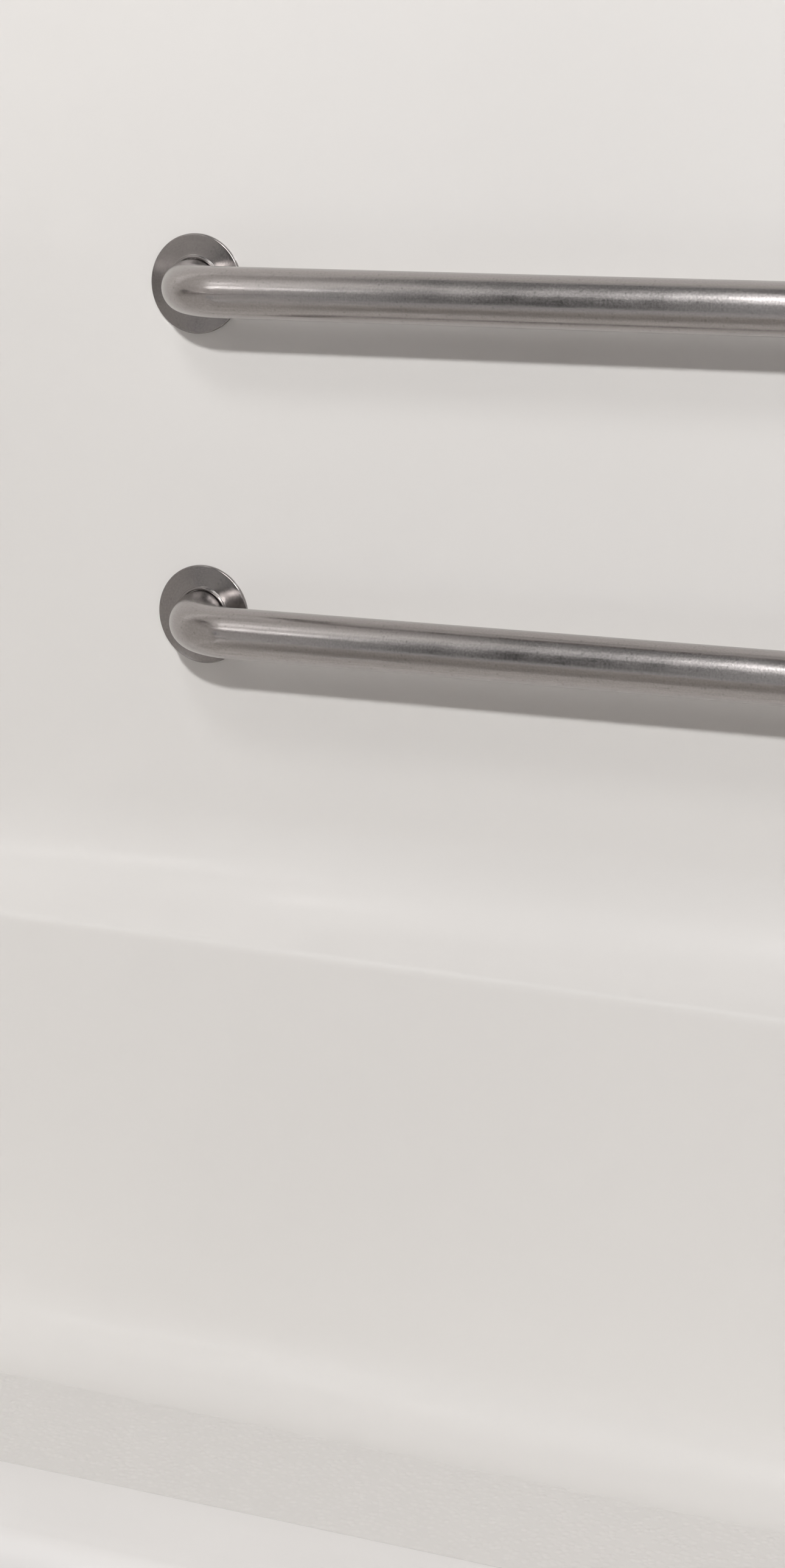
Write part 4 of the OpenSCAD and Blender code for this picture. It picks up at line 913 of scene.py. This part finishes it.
class TUB_OT_bars(bpy.types.Operator):
    """Build the two back wall bars and the control wall bar, each a bent tube with two covers."""

    bl_idname = "tub.bars"
    bl_label = "Grab bars"

    def execute(self, context):
        s = context.scene.tub_shell
        b = context.scene.tub_bars
        for name in ("upper_bar", "lower_bar", "control_bar"):
            low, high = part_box(name + "_tube")
            z = (low.z + high.z) / 2
            if name == "control_bar":
                place = (-s.wall_x, low.y + b.tube, z), (0, 1, 0), (1, 0, 0), high.y - low.y - 2 * b.tube
            else:
                place = (low.x + b.tube, s.wall_y, z), (1, 0, 0), (0, -1, 0), high.x - low.x - 2 * b.tube
            build_bar(context, name, *place)
        return {"FINISHED"}


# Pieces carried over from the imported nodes

PLAIN = {
    "plywood": "back_wall_backer control_wall_backer head_wall_backer floor_board base_runners "
               "apron_stiffener seat_supports",
    "satin_steel_plate": "upper_bar_plates lower_bar_plates control_bar_plates",
    "steel": "upper_bar_screws lower_bar_screws control_bar_screws trip_pin spout_set_screw",
    "chrome": "drain_flange drain_strainer strainer_screw waste_slip_nuts overflow_plate overflow_screws "
              "trip_lever valve_sleeve face_plate face_plate_screws lever_handle handle_screw tub_spout "
              "diverter_knob shower_arm arm_flange shower_head",
    "brass": "drain_shoe waste_arm waste_tee overflow_tube overflow_head trip_linkage waste_plunger "
             "valve_body valve_stem spout_drop_pipe spout_elbow spout_nipple riser_pipe shower_elbow",
    "rubber": "drain_gasket overflow_gasket waste_slip_washers",
    "dark_plastic": "valve_cartridge spray_face",
}
BODIES = {member: body for body, members in frame["record"]["behaviour"]["bodies"].items()
          for member in members}


class TUB_OT_fittings(bpy.types.Operator):
    """Give every other node that shows a merged, smoothly shaded copy with its finish."""

    bl_idname = "tub.fittings"
    bl_label = "Boards, fixings and pipework"

    def execute(self, context):
        looks = finishes()
        for finish, names in PLAIN.items():
            for name in names.split():
                source = frame["nodes"][name]
                if source.hide_render:
                    continue
                mesh = source.data.copy()
                mesh.materials.clear()
                weld(mesh, 0.00001)
                for attribute in [a for a in mesh.attributes if a.name in ("custom_normal", "sharp_edge")]:
                    mesh.attributes.remove(attribute)
                smooth(mesh, 24.0)
                piece(name + "_shape", mesh, BODIES[name], [looks[finish]], [name])
        return {"FINISHED"}


# Stage

CAMERA_PLACE = (0.6257, -1.5619, 1.1030)
CAMERA_YAW = -23.98
CAMERA_PITCH = -7.44
CAMERA_ROLL = 0.76
CAMERA_LENS = 68.63
CAMERA_SHIFT = -0.25
FLOOR_TONE = 0.55
FLOOR_OWN = 0.42  # the floor's own tone as views see it
FLOOR_MIRRORED = 0.3  # share of that in reflections
FLOOR_DROP = 0.0005
FILL_TINT = (1.0, 0.74, 0.81, 1.0)
BAR_AXIS = (0.376, 0.80)  # y and z that the wide card bends about
ROOM_RADIUS = 3.0
ROOM_ELEVATIONS = (-26, 20, 50, 68, 88, 100, 112)
ROOM_TONES = (0.50, 0.56, 0.52, 0.32, 0.25, 0.34, 0.50)


def make_card(name):
    """A light of its own, as strong as the mesh's Tone and a little cloudy as cloth is."""
    made = bpy.data.materials.new(name)
    tree = empty_tree(made)
    here = node(tree, "ShaderNodeTexCoord").outputs["Object"]
    noise = node(tree, "ShaderNodeTexNoise", {"Vector": here, "Scale": 1.2, "Detail": 2.0})
    cloud = two_tone(tree, noise.outputs["Fac"], (0.85, 0.85, 0.85, 1.0), (1.15, 1.15, 1.15, 1.0))
    tone = node(tree, "ShaderNodeAttribute", attribute_name="Tone").outputs["Fac"]
    glow = node(tree, "ShaderNodeEmission", {"Color": cloud, "Strength": tone})
    node(tree, "ShaderNodeOutputMaterial", {"Surface": glow.outputs[0]})
    return made


def make_floor(tone):
    """Plain pale floor with the faintest mottle; part of its tone is its own, for views but not as light."""
    f = Finish("studio_floor", Roughness=0.75, Emission_Color=(1.0, 1.0, 0.99, 1.0))
    noise = node(f.tree, "ShaderNodeTexNoise", {"Vector": f.here, "Scale": 1.5, "Detail": 2.0})
    pale = f.tones(noise.outputs["Fac"], (tone, tone, tone, 1.0),
                   (tone * 1.02, tone * 1.02, tone * 1.01, 1.0))
    f.tree.links.new(pale, f.shader.inputs["Base Color"])
    own = sum_of(f.tree, "MULTIPLY", views(f.tree, FLOOR_MIRRORED), FLOOR_OWN)
    f.tree.links.new(own, f.shader.inputs["Emission Strength"])
    return f.made


def camera_place():
    """The camera looks along yaw from +Y and pitch from the horizon, then rolls about its view."""
    yaw, pitch, roll = (math.radians(v) for v in (CAMERA_YAW, CAMERA_PITCH, CAMERA_ROLL))
    look = np.array([math.sin(yaw) * math.cos(pitch), math.cos(yaw) * math.cos(pitch), math.sin(pitch)])
    right = np.array([math.cos(yaw), -math.sin(yaw), 0.0])
    down = np.cross(look, right)
    across = math.cos(roll) * right + math.sin(roll) * down
    under = -math.sin(roll) * right + math.cos(roll) * down
    return placed_at(CAMERA_PLACE, across, -under, -look)


def area_lamp(name, origin, aim, power, size):
    """A square lamp that faces its aim."""
    data = bpy.data.lights.new(name, "AREA")
    data.energy = power
    data.shape = "RECTANGLE"
    data.size = size
    data.size_y = size
    back = unit(np.array(origin) - np.array(aim))
    side = unit(np.cross(UP, back))
    put(name, data).matrix_world = placed_at(origin, side, np.cross(back, side), back)


class TUB_OT_stage(bpy.types.Operator):
    """Set the camera, the lamps, the pale floor and the plain background."""

    bl_idname = "tub.stage"
    bl_label = "Camera, lamps and floor"

    def execute(self, context):
        scene = context.scene
        studio = scene.tub_studio
        scene.view_settings.view_transform = "Standard"
        lens = bpy.data.cameras.new("camera")
        lens.lens = CAMERA_LENS
        lens.shift_y = CAMERA_SHIFT
        lens.clip_start = 0.05
        scene.camera = put("camera", lens)
        scene.camera.matrix_world = camera_place()
        area_lamp("key_lamp", (0.83, -2.57, 2.40), (-0.10, 0.43, 0.75), studio.key, 0.13)
        area_lamp("ceiling_lamp", (-0.18, -0.71, 1.98), (-0.10, 0.43, 0.55), studio.ceiling, 0.26)
        area_lamp("rear_lamp", (0.0, 4.2, 2.4), (0.0, 0.4, 0.9), studio.rear, 2.4)
        area_lamp("left_lamp", (-4.0, 1.2, 1.8), (-0.7, 0.2, 0.9), studio.rear * 0.6, 2.0)
        area_lamp("right_lamp", (4.0, 1.2, 1.8), (0.7, 0.2, 0.9), studio.rear * 0.6, 2.0)
        self.background(scene, studio)
        self.floor()
        self.cards()
        return {"FINISHED"}

    def background(self, scene, studio):
        """Even light on the object, and a plain pale ground behind it and in its reflections."""
        scene.world = bpy.data.worlds.new("studio")
        tree = empty_tree(scene.world)
        light = node(tree, "ShaderNodeBackground", {"Color": FILL_TINT, "Strength": studio.fill})
        ground = node(tree, "ShaderNodeBackground", {"Color": (1.0, 1.0, 1.0, 1.0),
                                                     "Strength": studio.background})
        mixed = node(tree, "ShaderNodeMixShader", {0: views(tree, 1.0), 1: light.outputs[0],
                                                   2: ground.outputs[0]})
        node(tree, "ShaderNodeOutputWorld", {"Surface": mixed.outputs[0]})

    def cards(self):
        """Cards round the open side that only reflections see, as a photographer sets them for bare metal.

        The wide card is part of a cylinder about the bars: at the elevation e it stands at y - r cos e and
        z + r sin e, with a tone that follows e. A dark screen stands left of the camera and a bright one
        hangs overhead.
        """
        e = np.linspace(-26, 112, 47)[:, None]
        y, z = BAR_AXIS
        self.card("card_room", np.linspace(-4.6, 3.4, 5), y - ROOM_RADIUS * np.cos(np.radians(e)),
                  z + ROOM_RADIUS * np.sin(np.radians(e)), np.interp(e, ROOM_ELEVATIONS, ROOM_TONES))
        self.card("card_dark", np.linspace(-1.03, -0.66, 3), -1.52, np.linspace(0.45, 1.95, 3)[:, None], 0.0)
        lean = np.linspace(-0.46, 0.46, 3)[:, None]
        self.card("card_glow", np.linspace(-0.38, 0.50, 3), -0.74 - lean, 2.02 - lean, 3.2)

    def card(self, name, x, y, z, tone):
        """One grey card, tone its light at each point, unseen by every ray but reflections."""
        grid = points_at(x, y, z, tone)
        mesh = mesh_from(name, grid[..., :3], grid_quads(*grid.shape[:2]).tolist())
        tones = np.float32(grid[..., 3]).reshape(-1)
        mesh.attributes.new("Tone", "FLOAT", "POINT").data.foreach_set("value", tones)
        mesh.materials.append(make_card(name))
        made = put(name, mesh)
        for ray in ("camera", "diffuse", "transmission", "volume_scatter", "shadow"):
            setattr(made, "visible_" + ray, False)

    def floor(self):
        """Wide pale floor just under the object."""
        side = np.linspace(-9, 9, 5)
        grid = points_at(side, side[:, None], -FLOOR_DROP)
        mesh = mesh_from("studio_floor", grid, grid_quads(5, 5).tolist())
        mesh.materials.append(make_floor(FLOOR_TONE))
        put("studio_floor", mesh)


class TUB_PT_panel(bpy.types.Panel):
    """Lists the steps that build the tub."""

    bl_idname = "TUB_PT_panel"
    bl_label = "Transfer Tub"
    bl_space_type = "VIEW_3D"
    bl_region_type = "UI"
    bl_category = "Transfer Tub"

    def draw(self, context):
        for step in STEPS:
            self.layout.operator(step.bl_idname)
        for group_name in GROUPS:
            held = getattr(context.scene, group_name)
            box = self.layout.box()
            for name in held.bl_rna.properties.keys():
                if name not in ("rna_type", "name"):
                    box.prop(held, name)


GROUPS = {"tub_shell": ShellSizes, "tub_bars": BarSizes, "tub_colours": FinishColours,
          "tub_studio": StudioSettings}
STEPS = (TUB_OT_stage, TUB_OT_shell, TUB_OT_bars, TUB_OT_fittings)


def register():
    """Registers the classes and hangs the property groups on the scene."""
    for name, held in GROUPS.items():
        bpy.utils.register_class(held)
        setattr(bpy.types.Scene, name, PointerProperty(type=held))
    for made in (*STEPS, TUB_PT_panel):
        bpy.utils.register_class(made)


def unregister():
    """Takes the classes and property groups away again."""
    for made in (*STEPS, TUB_PT_panel):
        bpy.utils.unregister_class(made)
    for name, held in GROUPS.items():
        delattr(bpy.types.Scene, name)
        bpy.utils.unregister_class(held)


def main():
    """Builds everything in order."""
    register()
    bpy.ops.tub.stage()
    bpy.ops.tub.shell()
    bpy.ops.tub.bars()
    bpy.ops.tub.fittings()
    bpy.context.view_layer.update()


if __name__ == "__main__":
    main()
